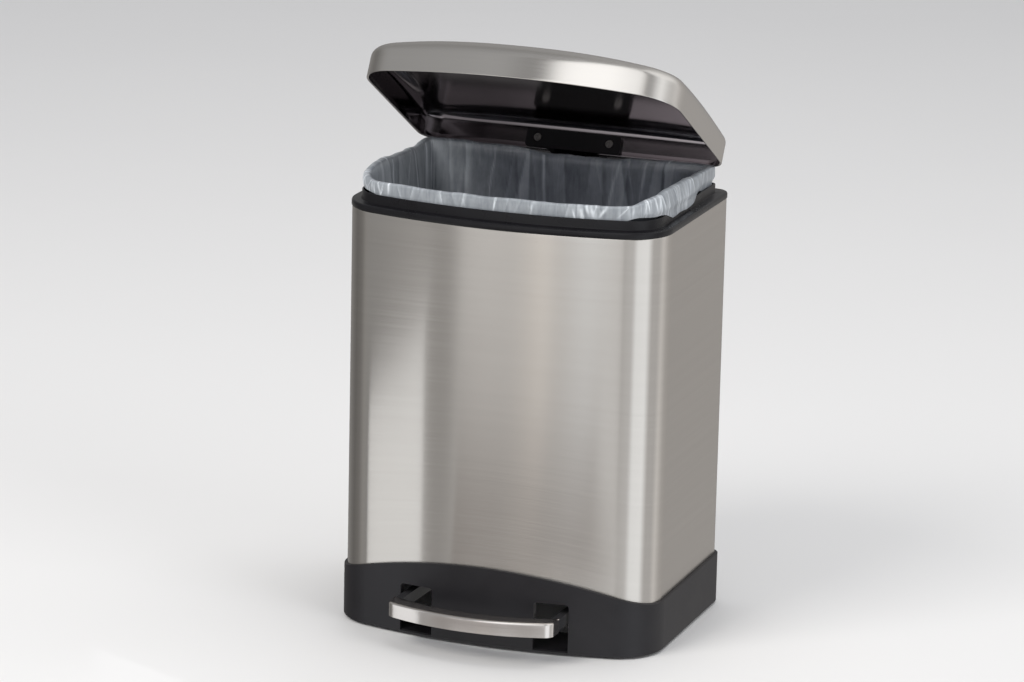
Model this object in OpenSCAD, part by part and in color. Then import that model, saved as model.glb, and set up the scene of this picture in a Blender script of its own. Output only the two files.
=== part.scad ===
// Rectangular step bin: bowed steel body, pedal base, soft-closing hinged lid and inner bucket

/* [Body] */
// Width of the steel body
body_w = 250; // [220:1:300]
// Depth of the steel body, from the middle of its bowed front to its back
body_d = 182; // [176:1:230]
// Height of the steel body's top edge above the floor
body_top = 320; // [300:1:420]
// How far the front bows out between its corners
front_bow = 19.5; // [12:0.5:24]
// Radius of the two front corners
front_r = 35; // [28:1:42]
// Radius of the two rear corners
rear_r = 11; // [9:0.5:16]
// Thickness of the steel sheet
sheet_t = 0.8; // [0.5:0.1:1.2]
// Width of the lapped seam at the back
seam_w = 12; // [8:1:16]

/* [Base] */
// How far the base stands out beyond the steel
base_out = 2.4; // [1.6:0.1:4]
// Height of the base at its corners, above the floor
base_h = 40; // [38:0.5:46]
// Rise of the base's top line in the middle of the front
arch_rise = 21.5; // [12:0.5:26]
// Thickness of the base's wall
base_t = 2.6; // [2:0.1:4]
// Height of the floor that the bucket stands on
deck_z = 46.5; // [46:0.5:52]
// Thickness of that floor
deck_t = 2.5; // [2:0.1:4]
// Inner edges of the pedal windows, from the middle
window_in = 40.5; // [36:0.5:44]
// Outer edges of the pedal windows, from the middle
window_out = 67; // [66.5:0.5:72]
// Top of the pedal windows
window_top = 40; // [38:0.5:42]
// Radius of the windows' upper corners
window_r = 2.5; // [1:0.5:3]
// Thickness of the base's floor under the windows
sill_t = 1.6; // [1.2:0.1:2.4]
// Height of the ribs under the base
rib_h = 18; // [12:1:22]
// Thickness of those ribs
rib_t = 2.4; // [1.6:0.1:3]
// Height of the rubber feet under the base
foot_h = 2; // [1:0.5:4]
// Diameter of the rubber feet
foot_d = 14; // [10:0.5:18]

/* [Pedal] */
// Width of the pedal tread
tread_w = 131; // [126:1:132]
// How far the middle of the tread reaches in front of the body
tread_reach = 42.3; // [38:0.5:60]
// Bow of the tread between its ends
tread_bow = 14; // [8:0.5:18]
// Height of the tread
tread_h = 10.8; // [8:0.2:12]
// Depth of the tread, front to back
tread_d = 15; // [12:0.5:18]
// Corner radius of the tread's ends
tread_r = 9; // [6:0.5:11]
// Thickness of the steel cover on the tread
cover_t = 0.8; // [0.5:0.1:1.2]
// Height of the pedal pivot above the floor
pivot_z = 26.7; // [25:0.1:28]
// Distance from the pivot to the middle of the tread's front
pedal_arm = 109; // [100:1:120]
// Distance from the pivot to the tip that lifts the push rod
lift_arm = 99; // [90:1:110]
// Diameter of the pedal pivot pin
pivot_d = 6; // [5:0.5:8]
// Thickness of the pedal arms
arm_t = 6; // [4:0.5:7]
// Height of the pedal arms and lever
lever_h = 9; // [7:0.5:9]

/* [Lid] */
// Angle of the lid above its closed place as modelled
lid_open = 30; // [10:1:60]
// Angle of the lid when the pedal is fully down
lid_max = 78; // [70:1:84]
// Height of the lid's upright skirt
skirt_h = 16; // [13:0.5:20]
// Radius of the lid's shoulder
shoulder_r = 10; // [6:0.5:12]
// Rise of the lid's top from the shoulder to the middle
crown = 3; // [1:0.5:8]
// Thickness of the lid's sheet and hem
lid_t = 1; // [0.8:0.1:1.4]
// How far the lid's sides stand in from the body's
lid_in = 2.1; // [1:0.1:3]
// Distance from the lid's shoulder to where its top is full height
crown_run = 50; // [30:1:60]
// How far the lid's back stands in from the body's, beyond that
lid_back = 5; // [4:0.5:7]
// Radius of the lid's two rear corners, before it stands in
lid_rear_r = 17; // [12:0.5:20]
// Gap between the closed lid and the collar's flange
lid_gap = 0.6; // [0.4:0.1:1.5]

/* [Collar] */
// How far the flange stands out beyond the steel
flange_out = 0.5; // [0.2:0.1:1.5]
// Height of the collar's flange above the steel
flange_h = 4.8; // [4:0.1:7]
// Top of the collar's upstand above the steel
upstand_h = 12; // [10:0.5:14]
// How far the upstand stands in from the body's sides
upstand_in = 7.2; // [6:0.1:9]
// Thickness of the collar's walls
collar_t = 1.6; // [1.2:0.1:2]
// How far the collar reaches down inside the steel
collar_skirt = 14; // [8:0.5:20]

/* [Hinge] */
// Distance of the hinge axis behind the body
hinge_back = 24; // [23:0.5:28]
// Height of the hinge axis above the steel's top edge
hinge_up = 13.5; // [12.5:0.5:16]
// Diameter of the hinge pin
hinge_pin_d = 5; // [4:0.5:6]
// Distance from the hinge axis to the crank pin
crank_r = 18; // [16:0.5:19]
// Diameter of the crank pin
crank_pin_d = 4; // [3:0.5:4.5]
// Width of the hinge housing
housing_w = 84; // [72:1:96]
// Thickness of the housing's walls
housing_t = 4; // [3:0.5:6]
// How far the housing's foot lies below the hinge axis
housing_drop = 66; // [64:1:80]
// Radius of the housing round the hinge pin
housing_r = 11; // [10:0.5:14]
// Width of the window in the steel that the push rod passes
rod_window_w = 24; // [16:1:30]
// Height of that window
rod_window_h = 40; // [39:0.5:42]
// Diameter of all screws
screw_d = 3; // [2.5:0.1:3.5]
// Diameter of the screws' heads
screw_head_d = 6; // [5:0.1:6.5]
// Height of the screws' heads
screw_head_h = 1.5; // [1:0.1:1.8]
// Width of the arm that joins the lid to the hinge
arm_w = 40; // [34:1:42]
// Diameter of the arm's hub on the hinge pin
hub_d = 13; // [11:0.5:14]
// Thickness of the arm's side plates and crank lugs
plate_t = 4; // [3:0.5:5]
// Thickness of the web over the arm's side plates
web_t = 2.5; // [2:0.1:3]
// Distance of the crank lugs from the middle
lug_x = 7; // [6:0.5:9]
// Width of the crank lugs
crank_lug_d = 10; // [8:0.5:11]
// Width of the bracket plate inside the lid
bracket_w = 76; // [66:1:90]
// Height of the bracket plate
bracket_h = 14.8; // [10:0.1:14.9]
// Thickness of the bracket plate
bracket_t = 3.2; // [2.6:0.1:3.6]
// Corner radius of the bracket plate
bracket_r = 3; // [1:0.5:5]
// Distance of the bracket screws from the middle
bracket_screw_x = 29; // [26:0.5:32]

/* [Bucket and bag] */
// Top of the bucket above the steel
bucket_up = 20.5; // [18:0.5:21]
// Wall of the bucket
bucket_t = 2; // [1.4:0.1:2.4]
// How far the bucket's wall stands in from the upstand
bucket_gap = 3.2; // [3:0.1:5]
// Sides' draft of the bucket, in degrees
bucket_draft = 1.5; // [0.5:0.1:2.5]
// Thickness of the bucket's rolled rim
rim_t = 2.2; // [1.6:0.1:3]
// Thickness of the folded film
film_t = 0.7; // [0.5:0.1:1]
// Depth of the film's fold outside the rim
fold_h = 11; // [8:0.5:12]

/* [Lift rod and damper] */
// Diameter of the push rod
rod_d = 5; // [4:0.5:6]
// Extra thickness of the rod at its two bends
bend_swell = 0.6; // [0.4:0.1:1.5]
// Diameter of the lever's tip pin
tip_pin_d = 4; // [3:0.5:4.5]
// Length of the foot piece round the tip pin
foot_len = 12; // [11:0.5:12.5]
// Thickness of the foot piece's cheeks
cheek_t = 3.6; // [2.5:0.1:4]
// Height of the foot piece's bridge
bridge_h = 6; // [5:0.5:7]
// Width of the yoke
yoke_w = 15; // [14:0.5:15.5]
// Thickness of the yoke
yoke_t = 6; // [5:0.5:7]
// Height of the rod guide
guide_h = 12; // [8:1:16]
// Width of the rod guide
guide_w = 18; // [14:1:24]
// Distance of the push rod in front of the body's back
rod_in = 12; // [11.5:0.5:13]
// Distance of the damper from the middle
damper_x = 26; // [24:1:40]
// Outer diameter of the damper's cylinder
damper_d = 13; // [11:0.5:14]
// Length of the damper's cylinder
damper_len = 62; // [56:1:80]
// Wall of the damper's cylinder
damper_t = 1; // [0.8:0.1:1.6]
// Diameter of the damper's rod
damper_rod_d = 4; // [3:0.5:5]
// Height of the clip round the damper
clip_h = 10; // [6:1:14]

/* [Clearances] */
// Gap round the steel in the base's slot
slot_gap = 0.2; // [0.1:0.05:0.4]
// Gap round a rod or pin that slides or turns
run_gap = 0.05; // [0.03:0.01:0.1]
// Gap between parts that stay apart
free_gap = 0.3; // [0.2:0.05:0.5]
// Gap round a pin that is pressed in
press_gap = 0.01; // [0:0.005:0.02]
// Gap round the crank pin in the yoke's slot
yoke_gap = 0.55; // [0.5:0.05:0.7]
// Gap round the tip pin in the foot piece
tip_gap = 0.25; // [0.2:0.05:0.4]

/* [Hidden] */
$fn = 48;
fine = 360;

// The origin is on the floor, in the middle of the width and of the whole depth
housing_reach = hinge_back + housing_r;
front_y = tread_reach - (body_d + tread_reach + housing_reach) / 2;
rear_y = front_y + body_d;
base_top = base_h + arch_rise;
arch_r = (pow(body_w / 2, 2) + pow(arch_rise, 2)) / (2 * arch_rise);
bow_r = (pow(body_w / 2, 2) + pow(front_bow, 2)) / (2 * front_bow);
corner_x = body_w / 2 - front_r;
corner_y = front_y + bow_r - sqrt(pow(bow_r - front_r, 2) - pow(corner_x, 2));

// The steel stands in a slot of this depth in the base
slot_depth = 6;
ledge_w = 2.3;
ledge_in = sheet_t + slot_gap + ledge_w;
inner_rise = 6.5;
base_inner_top = base_top + inner_rise;
flange_top = body_top + flange_h;
bucket_in = upstand_in + collar_t + bucket_gap;
fold_gap = 0.8;
bag_in = upstand_in + collar_t + fold_gap;
inner_back = lid_back + 0.5;
rim_top = body_top + bucket_up;
film_low = rim_top + 0.5;
bag_top = film_low + 1;
lid_rim = flange_top + lid_gap;

// Hinge axis, crank and the two levers' swing
hinge_y = rear_y + hinge_back;
hinge_z = body_top + hinge_up;
rod_travel = 2 * crank_r * sin(lid_max / 2);
rod_rest = -rod_travel / 2 + rod_travel * lid_open / lid_max;
crank_rest = lid_open - lid_max / 2;
pedal_swing = 2 * asin(rod_travel / 2 / lift_arm);
pedal_rest = pedal_swing / 2 - pedal_swing * lid_open / lid_max;
rod_y = rear_y - rod_in;
pivot_y = rod_y - lift_arm;
tread_front = front_y - tread_reach;
arm_inset = 3.5;
arm_x = tread_w / 2 - arm_inset;
yoke_y = hinge_y - crank_r * (1 + cos(lid_max / 2)) / 2;
slot_play = 1.2;
yoke_slot = crank_r * (1 - cos(lid_max / 2)) + slot_play;
yoke_socket = 7;
yoke_low = 12;
yoke_h = 18;
rod_seat = 9;
yoke_z = hinge_z + rod_rest;
tip_z = pivot_z + rod_rest;
bend_drop = 53;
bend_low = hinge_z - bend_drop + rod_rest;
bend_high = bend_low + yoke_y - rod_y;
tunnel_side = 6;
tunnel_front = 9;
tunnel_w = 2 * damper_x + damper_d + tunnel_side;
tunnel_t = 2;
tunnel_y = rod_y - tunnel_front;
tunnel_z = 61;
tunnel_roof = 1.5;
lug_w = 3.5;
lug_gap = 1;
arm_gap = 1;
window_low = foot_h + 1;
skirt_face = rear_y - lid_back - lid_in - lid_t;
bracket_screw_up = 9;
bracket_screw_z = lid_rim + bracket_screw_up;
foot_cheek_x = 6;
rod_window_drop = 60;
rod_window_z = hinge_z - rod_window_drop;
window_run = 24;
clip_room = 3;
screw_len = 8;
rib_x = 91;
foot_socket = 2.5;
foot_post = 5;
foot_front = [100, front_y + 47];
foot_rear = [103, rear_y - 20];
foot_spots = [[-foot_front[0], foot_front[1]], foot_front, [-foot_rear[0], foot_rear[1]], foot_rear];
screw_edge = 4.5;
housing_screw_x = housing_w / 2 - screw_edge;
housing_screw_z = [hinge_z - 56, hinge_z - 32];
housing_slope = 26;
guide_drop = 26;
guide_z = bend_low - rod_travel / 2 - guide_drop;

// Outline of a box with a bowed front, grown outwards by grow, with its back at y = back
module bowed(w, front, back, bow, rf, rb, grow) {
    r = (w * w / 4 + bow * bow) / (2 * bow);
    cy = front + r;
    fx = w / 2 - rf;
    fy = cy - sqrt(pow(r - rf, 2) - fx * fx);
    k = (r + abs(grow) + 20) / (r - rf);
    corner = max(rb + grow, 3);
    side = w / 2 + grow;
    intersection() {
        translate([0, cy]) circle(r + grow, $fn = fine);
        polygon([[-fx, fy], [fx, fy], [fx * k, cy + (fy - cy) * k], [-fx * k, cy + (fy - cy) * k]]);
    }
    for (s = [-1, 1]) translate([s * fx, fy]) circle(rf + grow);
    translate([-side, fy]) square([2 * side, back + grow - corner - fy]);
    translate([corner - side, fy]) square([2 * (side - corner), back + grow - fy]);
    for (s = [-1, 1]) translate([s * (side - corner), back + grow - corner]) circle(corner);
}

module plan(grow, back = 0, corner = rear_r) {
    bowed(body_w, front_y, rear_y - back, front_bow, front_r, corner, grow);
}

module slab(z0, z1, grow, back = 0, corner = rear_r) {
    translate([0, 0, z0]) linear_extrude(z1 - z0) plan(grow, back, corner);
}

// Everything below the base's top line: level at the sides and back, arched in front
module below_line(dz) {
    translate([-body_w, front_y - 60, -10]) cube([2 * body_w, body_d + 120, base_h + dz + 10]);
    intersection() {
        translate([0, front_y - 60, base_top + dz - arch_r])
            rotate([-90, 0, 0]) cylinder(r = arch_r, h = 60 + corner_y - front_y, $fn = fine);
        translate([-body_w / 2, front_y - 60, 0]) cube([body_w, 60 + corner_y - front_y, base_top + 20]);
    }
}

// Bar along X, centred on x = 0
module bar_x(d, len, y, z) {
    translate([-len / 2, y, z]) rotate([0, 90, 0]) cylinder(d = d, h = len);
}

// The lid's group is drawn closed and turned about the hinge axis
module opened() {
    translate([0, hinge_y, hinge_z]) rotate([-lid_open, 0, 0])
        translate([0, -hinge_y, -hinge_z]) children();
}

// The pedal's group is drawn level and turned about its pivot
module tilted() {
    translate([0, pivot_y, pivot_z]) rotate([-pedal_rest, 0, 0])
        translate([0, -pivot_y, -pivot_z]) children();
}

module lug(x) {
    difference() {
        translate([x - lug_w / 2, pivot_y - pivot_d * 1.5, pivot_z - pivot_d])
            cube([lug_w, pivot_d * 3, deck_z - deck_t - pivot_z + pivot_d + 0.5]);
        bar_x(pivot_d + 2 * run_gap, 2 * body_w, pivot_y, pivot_z);
    }
}

module base() {
    color("#2b2a2d") {
        difference() {
            union() {
                intersection() {
                    slab(foot_h, base_top + 1, base_out);
                    below_line(0);
                }
                slab(foot_h, base_inner_top, -sheet_t - slot_gap);
            }
            difference() {
                slab(foot_h + 1, base_inner_top + 1, slot_gap);
                slab(foot_h, base_inner_top + 2, -sheet_t - slot_gap);
                below_line(-slot_depth);
            }
            slab(foot_h - 1, base_h - slot_depth - 3, base_out - base_t);
            slab(foot_h - 1, deck_z - deck_t, -ledge_in);
            slab(deck_z, base_inner_top + 1, -ledge_in);
            for (s = [-1, 1]) pedal_window(s * (window_in + window_out) / 2);
            translate([-tunnel_w / 2 + tunnel_t, tunnel_y + tunnel_t, deck_z - deck_t - 1])
                cube([tunnel_w - 2 * tunnel_t, rear_y - ledge_in - tunnel_y - tunnel_t, deck_t + 5]);
        }
        rear_tunnel();
        for (s = [-1, 1]) {
            lug(s * (arm_x + arm_t / 2 + lug_gap + lug_w / 2));
            lug(s * (arm_x - arm_t / 2 - lug_gap - lug_w / 2));
            // stiffening ribs beside the lever
            translate([s * rib_x - rib_t / 2, corner_y, deck_z - deck_t - rib_h])
                cube([rib_t, rear_y - corner_y - ledge_in + 1, rib_h + 0.5]);
        }
        difference() {
            union() {
                for (p = foot_spots) translate([p[0], p[1], foot_h])
                    cylinder(d = foot_d + foot_post, h = deck_z - deck_t - foot_h + 0.5);
                // floor under the pedal windows
                intersection() {
                    slab(foot_h, foot_h + sill_t, base_out - base_t / 2);
                    translate([-body_w, front_y - body_d, 0])
                        cube([2 * body_w, body_d + corner_y - front_y, base_h]);
                }
            }
            for (p = foot_spots) translate([p[0], p[1], 0])
                cylinder(d = foot_d + slot_gap, h = foot_h + foot_socket);
        }
    }
}

// Opening that a pedal arm moves in, rounded at its upper corners
module pedal_window(x) {
    half = (window_out - window_in) / 2;
    translate([x, front_y + window_run, 0]) rotate([90, 0, 0]) linear_extrude(2 * window_run) hull() {
        translate([-half, window_low]) square([2 * half, 1]);
        for (s = [-1, 1]) translate([s * (half - window_r), window_top - window_r]) circle(window_r);
    }
}

// Raised box at the back of the base, over the lever's tip and behind the bucket
module rear_tunnel() {
    depth = rear_y - ledge_in - tunnel_y + 1;
    rise = tunnel_z - deck_z;
    difference() {
        translate([-tunnel_w / 2, tunnel_y, deck_z - deck_t])
            cube([tunnel_w, depth, rise + deck_t]);
        translate([-tunnel_w / 2 + tunnel_t, tunnel_y + tunnel_t, deck_z - deck_t - 1])
            cube([tunnel_w - 2 * tunnel_t, depth - tunnel_t - 1, rise - tunnel_roof + deck_t]);
        translate([0, rod_y, deck_z]) cylinder(d = rod_d + 2 * run_gap, h = rise + 1);
        translate([damper_x, rod_y, deck_z]) cylinder(d = damper_rod_d + 4 * free_gap, h = rise + 1);
    }
}

module feet() {
    color("#1b1b1b") for (p = foot_spots)
        translate([p[0], p[1], 0]) cylinder(d = foot_d, h = foot_h + foot_socket);
}

module steel_body() {
    color("#b9b4ae") {
        difference() {
            slab(base_h - slot_depth - 1, body_top, 0);
            slab(base_h - slot_depth - 2, body_top + 1, -sheet_t);
            below_line(-slot_depth);
            // window for the push rod, inside the hinge housing
            translate([-rod_window_w / 2, rear_y - 6, rod_window_z]) cube([rod_window_w, 12, rod_window_h]);
            for (x = [-1, 1], z = housing_screw_z)
                translate([x * housing_screw_x, rear_y - 5, z]) rotate([-90, 0, 0])
                    cylinder(d = screw_d + 2 * free_gap, h = 12);
        }
        // lapped seam of the sheet
        translate([-seam_w / 2, rear_y - 0.1, base_h + 1])
            cube([seam_w, sheet_t * 0.7, hinge_z - housing_drop - base_h - 4]);
    }
}

module collar() {
    color("#222124") difference() {
        union() {
            slab(body_top, flange_top, flange_out);
            slab(flange_top - 0.1, body_top + upstand_h, -upstand_in, inner_back);
            slab(body_top - collar_skirt, body_top + 0.1, -sheet_t - slot_gap);
        }
        // opening for the bucket
        slab(body_top - 1, body_top + upstand_h + 1, -upstand_in - collar_t, inner_back);
        // inside of the lower skirt, and the hollow under the flange
        slab(body_top - collar_skirt - 1, body_top + flange_h - 2.2, -sheet_t - slot_gap - collar_t);
        // room for the push rod, and for the yoke behind the flange
        translate([-rod_window_w / 2, rear_y - 5, body_top - collar_skirt - 1])
            cube([rod_window_w, 4.8, collar_skirt + 1]);
        translate([-arm_w / 2, rear_y - free_gap, body_top - 1]) cube([arm_w, 5, flange_h + 2]);
    }
}

// Side view of the housing: against the steel, clear of the collar's flange, round over the pin
module housing_side(inset) {
    top = hinge_z + housing_r - inset;
    back = hinge_y + housing_r - inset;
    low = hinge_z - housing_drop + inset;
    step_y = rear_y + flange_out + free_gap;
    polygon([[rear_y, low], [back, low + housing_slope], [back, hinge_z], [hinge_y, hinge_z], [hinge_y, top],
        [step_y + 5, hinge_z - 2], [step_y, hinge_z - 7], [step_y, body_top - free_gap],
        [rear_y, body_top - free_gap]]);
    translate([hinge_y, hinge_z]) circle(housing_r - inset);
}

module side_extrude(w) {
    rotate([90, 0, 90]) translate([0, 0, -w / 2]) linear_extrude(w) children();
}

module hinge_housing() {
    low = hinge_z - housing_drop;
    color("#242326") difference() {
        side_extrude(housing_w) housing_side(0);
        // hollow for the arm, the crank and the push rod, open to the steel and at the top
        intersection() {
            side_extrude(arm_w + 2 * arm_gap) union() {
                housing_side(housing_t - 1);
                translate([rear_y - 1, low + 10]) square([hinge_back / 2, housing_drop]);
                translate([rear_y - 1, hinge_z - 12]) square([hinge_back + 6, 40]);
            }
            translate([-body_w, rear_y - 2, low + 2 * housing_t]) cube([2 * body_w, 60, 2 * housing_drop]);
        }
        bar_x(hinge_pin_d + 2 * press_gap, 2 * housing_w, hinge_y, hinge_z);
        for (s = [-1, 1])
            translate([s * (housing_w - clip_room) / 2 - clip_room / 2, hinge_y, hinge_z])
                rotate([0, 90, 0]) cylinder(d = hinge_pin_d + 5, h = clip_room);
        for (x = [-1, 1], z = housing_screw_z)
            translate([x * housing_screw_x, rear_y - 1, z]) rotate([-90, 0, 0])
                cylinder(d = screw_d, h = screw_len + 1);
    }
}

module housing_screws() {
    color("#8d8f92") for (x = [-1, 1], z = housing_screw_z)
        translate([x * housing_screw_x, rear_y - sheet_t, z]) rotate([-90, 0, 0]) {
            translate([0, 0, -screw_head_h]) cylinder(d = screw_head_d, h = screw_head_h);
            cylinder(d = screw_d, h = screw_len);
        }
}

module hinge_pin() {
    color("#9a9c9f") bar_x(hinge_pin_d, housing_w - 2, hinge_y, hinge_z);
}

module hinge_clips() {
    color("#7d7f82") for (s = [-1, 1])
        translate([s * (housing_w / 2 - clip_room + 0.5) - 0.5, hinge_y, hinge_z])
            rotate([0, 90, 0]) difference() {
                cylinder(d = hinge_pin_d + 4, h = 1);
                translate([0, 0, -1]) cylinder(d = hinge_pin_d + 2 * press_gap, h = 3);
                translate([-1, 0, -1]) cube([2, hinge_pin_d + 3, 3]);
            }
}

module pivot_pin() {
    color("#9a9c9f") bar_x(pivot_d, 2 * (arm_x + arm_t / 2 + lug_gap + lug_w) + 2, pivot_y, pivot_z);
}

module rod_guide() {
    wall = 1.5;
    color("#2a2a2c") difference() {
        translate([-guide_w / 2, rod_y - rod_d / 2 - wall, guide_z])
            cube([guide_w, rod_in + rod_d / 2 + wall - sheet_t, guide_h]);
        translate([0, rod_y, guide_z - 1]) cylinder(d = rod_d + 2 * run_gap, h = guide_h + 2);
    }
}

module damper_cylinder() {
    low = 4;
    color("#3a3b3e") translate([damper_x, rod_y, tunnel_z]) difference() {
        cylinder(d = damper_d, h = damper_len);
        translate([0, 0, low]) cylinder(d = damper_d - 2 * damper_t, h = damper_len - low - 3);
        translate([0, 0, -1]) cylinder(d = damper_rod_d + 2 * run_gap, h = low + 2);
    }
}

module damper_clip() {
    color("#2a2a2c") translate([damper_x, rod_y, tunnel_z + damper_len - 2 * clip_h]) difference() {
        union() {
            cylinder(d = damper_d + 3, h = clip_h);
            translate([-6, 0, 0]) cube([12, rod_in - sheet_t, clip_h]);
        }
        translate([0, 0, -1]) cylinder(d = damper_d, h = clip_h + 2);
        translate([-4, -damper_d, -1]) cube([8, damper_d - 3, clip_h + 2]);
    }
}

// Tapered solid: inset at the top by top_in, drafted down to z0
module tapered(z0, z1, top_in) {
    low_in = top_in + (rim_top - z0) * tan(bucket_draft);
    high_in = top_in + (rim_top - z1) * tan(bucket_draft);
    hull() {
        slab(z0, z0 + 0.01, -low_in - 5, inner_back);
        slab(z0 + 1.5, z0 + 1.51, -low_in - 1.5, inner_back);
        slab(z0 + 5, z0 + 5.01, -low_in, inner_back);
        slab(z1 - 0.01, z1, -high_in, inner_back);
    }
}

module bucket() {
    color("#3b3d40") difference() {
        union() {
            tapered(deck_z, rim_top, bucket_in);
            slab(rim_top - rim_t, rim_top, -bag_in - film_t - free_gap, inner_back);
        }
        tapered(deck_z + bucket_t, rim_top + 1, bucket_in + bucket_t);
    }
}

module bag() {
    fold_low = bag_top - fold_h;
    color("#c9d2d8") difference() {
        union() {
            difference() {
                slab(fold_low, bag_top, -bag_in, inner_back);
                slab(fold_low - 1, film_low, -bag_in - film_t, inner_back);
            }
            tapered(deck_z + bucket_t + free_gap, film_low + 0.1, bucket_in + bucket_t + free_gap);
        }
        tapered(deck_z + bucket_t + free_gap + film_t, bag_top + 1, bucket_in + bucket_t + free_gap + film_t);
    }
}

// Solid pressing, shrunk by inset all over
module pressing(inset) {
    $fn = 32;
    r = shoulder_r - inset;
    top = lid_rim + skirt_h;
    hull() {
        slab(lid_rim - inset, top, -lid_in - inset, lid_back, lid_rear_r);
        for (a = [30, 60, 90])
            slab(top, top + r * sin(a), -lid_in - inset - r * (1 - cos(a)), lid_back, lid_rear_r);
        slab(top, top + r + 0.6 * crown, -lid_in - inset - r - crown_run * 0.45, lid_back, lid_rear_r);
        slab(top, top + r + crown, -lid_in - inset - r - crown_run, lid_back, lid_rear_r);
    }
}

module lid() {
    color("#bdb8b2") opened() difference() {
        pressing(0);
        pressing(lid_t);
        // notch for the hinge arm in the rear skirt
        translate([-arm_w / 2 - arm_gap, skirt_face - 3, lid_rim - 2])
            cube([arm_w + 2 * arm_gap, 8, hinge_z + plate_t + arm_gap - lid_rim + 2]);
        for (s = [-1, 1]) translate([s * bracket_screw_x, skirt_face - 3, bracket_screw_z])
            rotate([-90, 0, 0]) cylinder(d = screw_d, h = 8);
    }
}

module hinge_arm() {
    low = lid_rim + 1;
    front = skirt_face - bracket_t;
    color("#1f1e21") opened() difference() {
        union() {
            // plate on the inside of the rear skirt
            translate([0, skirt_face, low + bracket_h / 2]) rotate([90, 0, 0]) linear_extrude(bracket_t)
                offset(bracket_r)
                    square([bracket_w - 2 * bracket_r, bracket_h - 2 * bracket_r], center = true);
            // top web and two side plates back to the pin
            translate([-arm_w / 2, front, hinge_z + plate_t - web_t])
                cube([arm_w, hinge_y - front, web_t]);
            for (s = [-1, 1]) translate([s * (arm_w - plate_t) / 2 - plate_t / 2, front, low])
                cube([plate_t, hinge_y - front, hinge_z + plate_t - low]);
            bar_x(hub_d, arm_w, hinge_y, hinge_z);
            // two lugs that carry the crank pin
            for (s = [-1, 1]) translate([s * lug_x - plate_t / 2, hinge_y, hinge_z])
                rotate([lid_max / 2, 0, 0]) {
                    translate([0, -crank_r, -crank_lug_d / 2]) cube([plate_t, crank_r, crank_lug_d]);
                    translate([0, -crank_r, 0]) rotate([0, 90, 0]) cylinder(d = crank_lug_d, h = plate_t);
                }
        }
        bar_x(hinge_pin_d + 2 * run_gap, 2 * housing_w, hinge_y, hinge_z);
        translate([0, hinge_y, hinge_z]) rotate([lid_max / 2, 0, 0])
            bar_x(crank_pin_d + 2 * press_gap, housing_w, -crank_r, 0);
        for (s = [-1, 1]) translate([s * bracket_screw_x, front - 1, bracket_screw_z]) rotate([-90, 0, 0]) {
            cylinder(d = screw_head_d + 1, h = screw_head_h + 1);
            cylinder(d = screw_d, h = bracket_t + 2);
        }
    }
}

module bracket_screws() {
    color("#a9abae") opened() for (s = [-1, 1])
        translate([s * bracket_screw_x, skirt_face - bracket_t + screw_head_h, bracket_screw_z])
            rotate([-90, 0, 0]) {
                translate([0, 0, -screw_head_h]) difference() {
                    cylinder(d = screw_head_d, h = screw_head_h);
                    translate([-2, -0.5, -1]) cube([4, 1, 1.8]);
                    translate([-0.5, -2, -1]) cube([1, 4, 1.8]);
                }
                cylinder(d = screw_d, h = bracket_t - screw_head_h + lid_t + 0.5);
            }
}

module crank_pin() {
    color("#9a9c9f") opened() translate([0, hinge_y, hinge_z]) rotate([lid_max / 2, 0, 0])
        bar_x(crank_pin_d, 2 * lug_x + plate_t, -crank_r, 0);
}

module pedal_lever() {
    half = lever_h / 2;
    start = tread_front + tread_bow + tread_d - 4;
    tongue_w = 2 * (foot_cheek_x - cheek_t / 2 - 1.2);
    beam_w = 12;
    bar_d = 10;
    bar_y = pivot_y + 12;
    color("#29292b") tilted() difference() {
        union() {
            for (s = [-1, 1]) translate([s * arm_x - arm_t / 2, start, pivot_z - half])
                cube([arm_t, bar_y + bar_d - start, lever_h]);
            for (s = [-1, 1]) translate([s * arm_x - arm_t / 2, pivot_y, pivot_z])
                rotate([0, 90, 0]) cylinder(d = 2.5 * pivot_d, h = arm_t);
            translate([-arm_x, bar_y, pivot_z - half]) cube([2 * arm_x, bar_d, lever_h]);
            // central beam with its gussets, and the tongue that holds the tip pin
            translate([-beam_w / 2, bar_y + 2, pivot_z - half]) cube([beam_w, lift_arm - 24, lever_h]);
            translate([0, bar_y + bar_d, pivot_z - half]) linear_extrude(lever_h)
                polygon([[-30, -1], [30, -1], [5, 24], [-5, 24]]);
            translate([-tongue_w / 2, pivot_y + lift_arm - 14, pivot_z - half]) cube([tongue_w, 14, lever_h]);
            bar_x(lever_h, tongue_w, pivot_y + lift_arm, pivot_z);
        }
        bar_x(pivot_d + 2 * run_gap, 2 * body_w, pivot_y, pivot_z);
        bar_x(tip_pin_d + 2 * press_gap, 40, pivot_y + lift_arm, pivot_z);
        translate([0, 0, pivot_z - tread_h]) linear_extrude(2 * tread_h) tread_outline(0);
    }
}

module tip_pin() {
    color("#9a9c9f") tilted()
        bar_x(tip_pin_d, 2 * foot_cheek_x + cheek_t, pivot_y + lift_arm, pivot_z);
}

// Outline of the tread, its front and back bowed alike
module tread_outline(inset) {
    r = (pow(tread_w / 2, 2) + pow(tread_bow, 2)) / (2 * tread_bow);
    difference() {
        bowed(tread_w, tread_front, tread_front + 60, tread_bow, tread_r, 3, -inset);
        translate([0, tread_front + tread_d + r]) circle(r, $fn = fine);
        translate([-tread_w, tread_front + tread_bow + tread_d]) square([2 * tread_w, tread_w]);
    }
}

module pedal_body() {
    color("#29292b") tilted() translate([0, 0, pivot_z - tread_h / 2])
        linear_extrude(tread_h - cover_t) tread_outline(cover_t);
}

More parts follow.
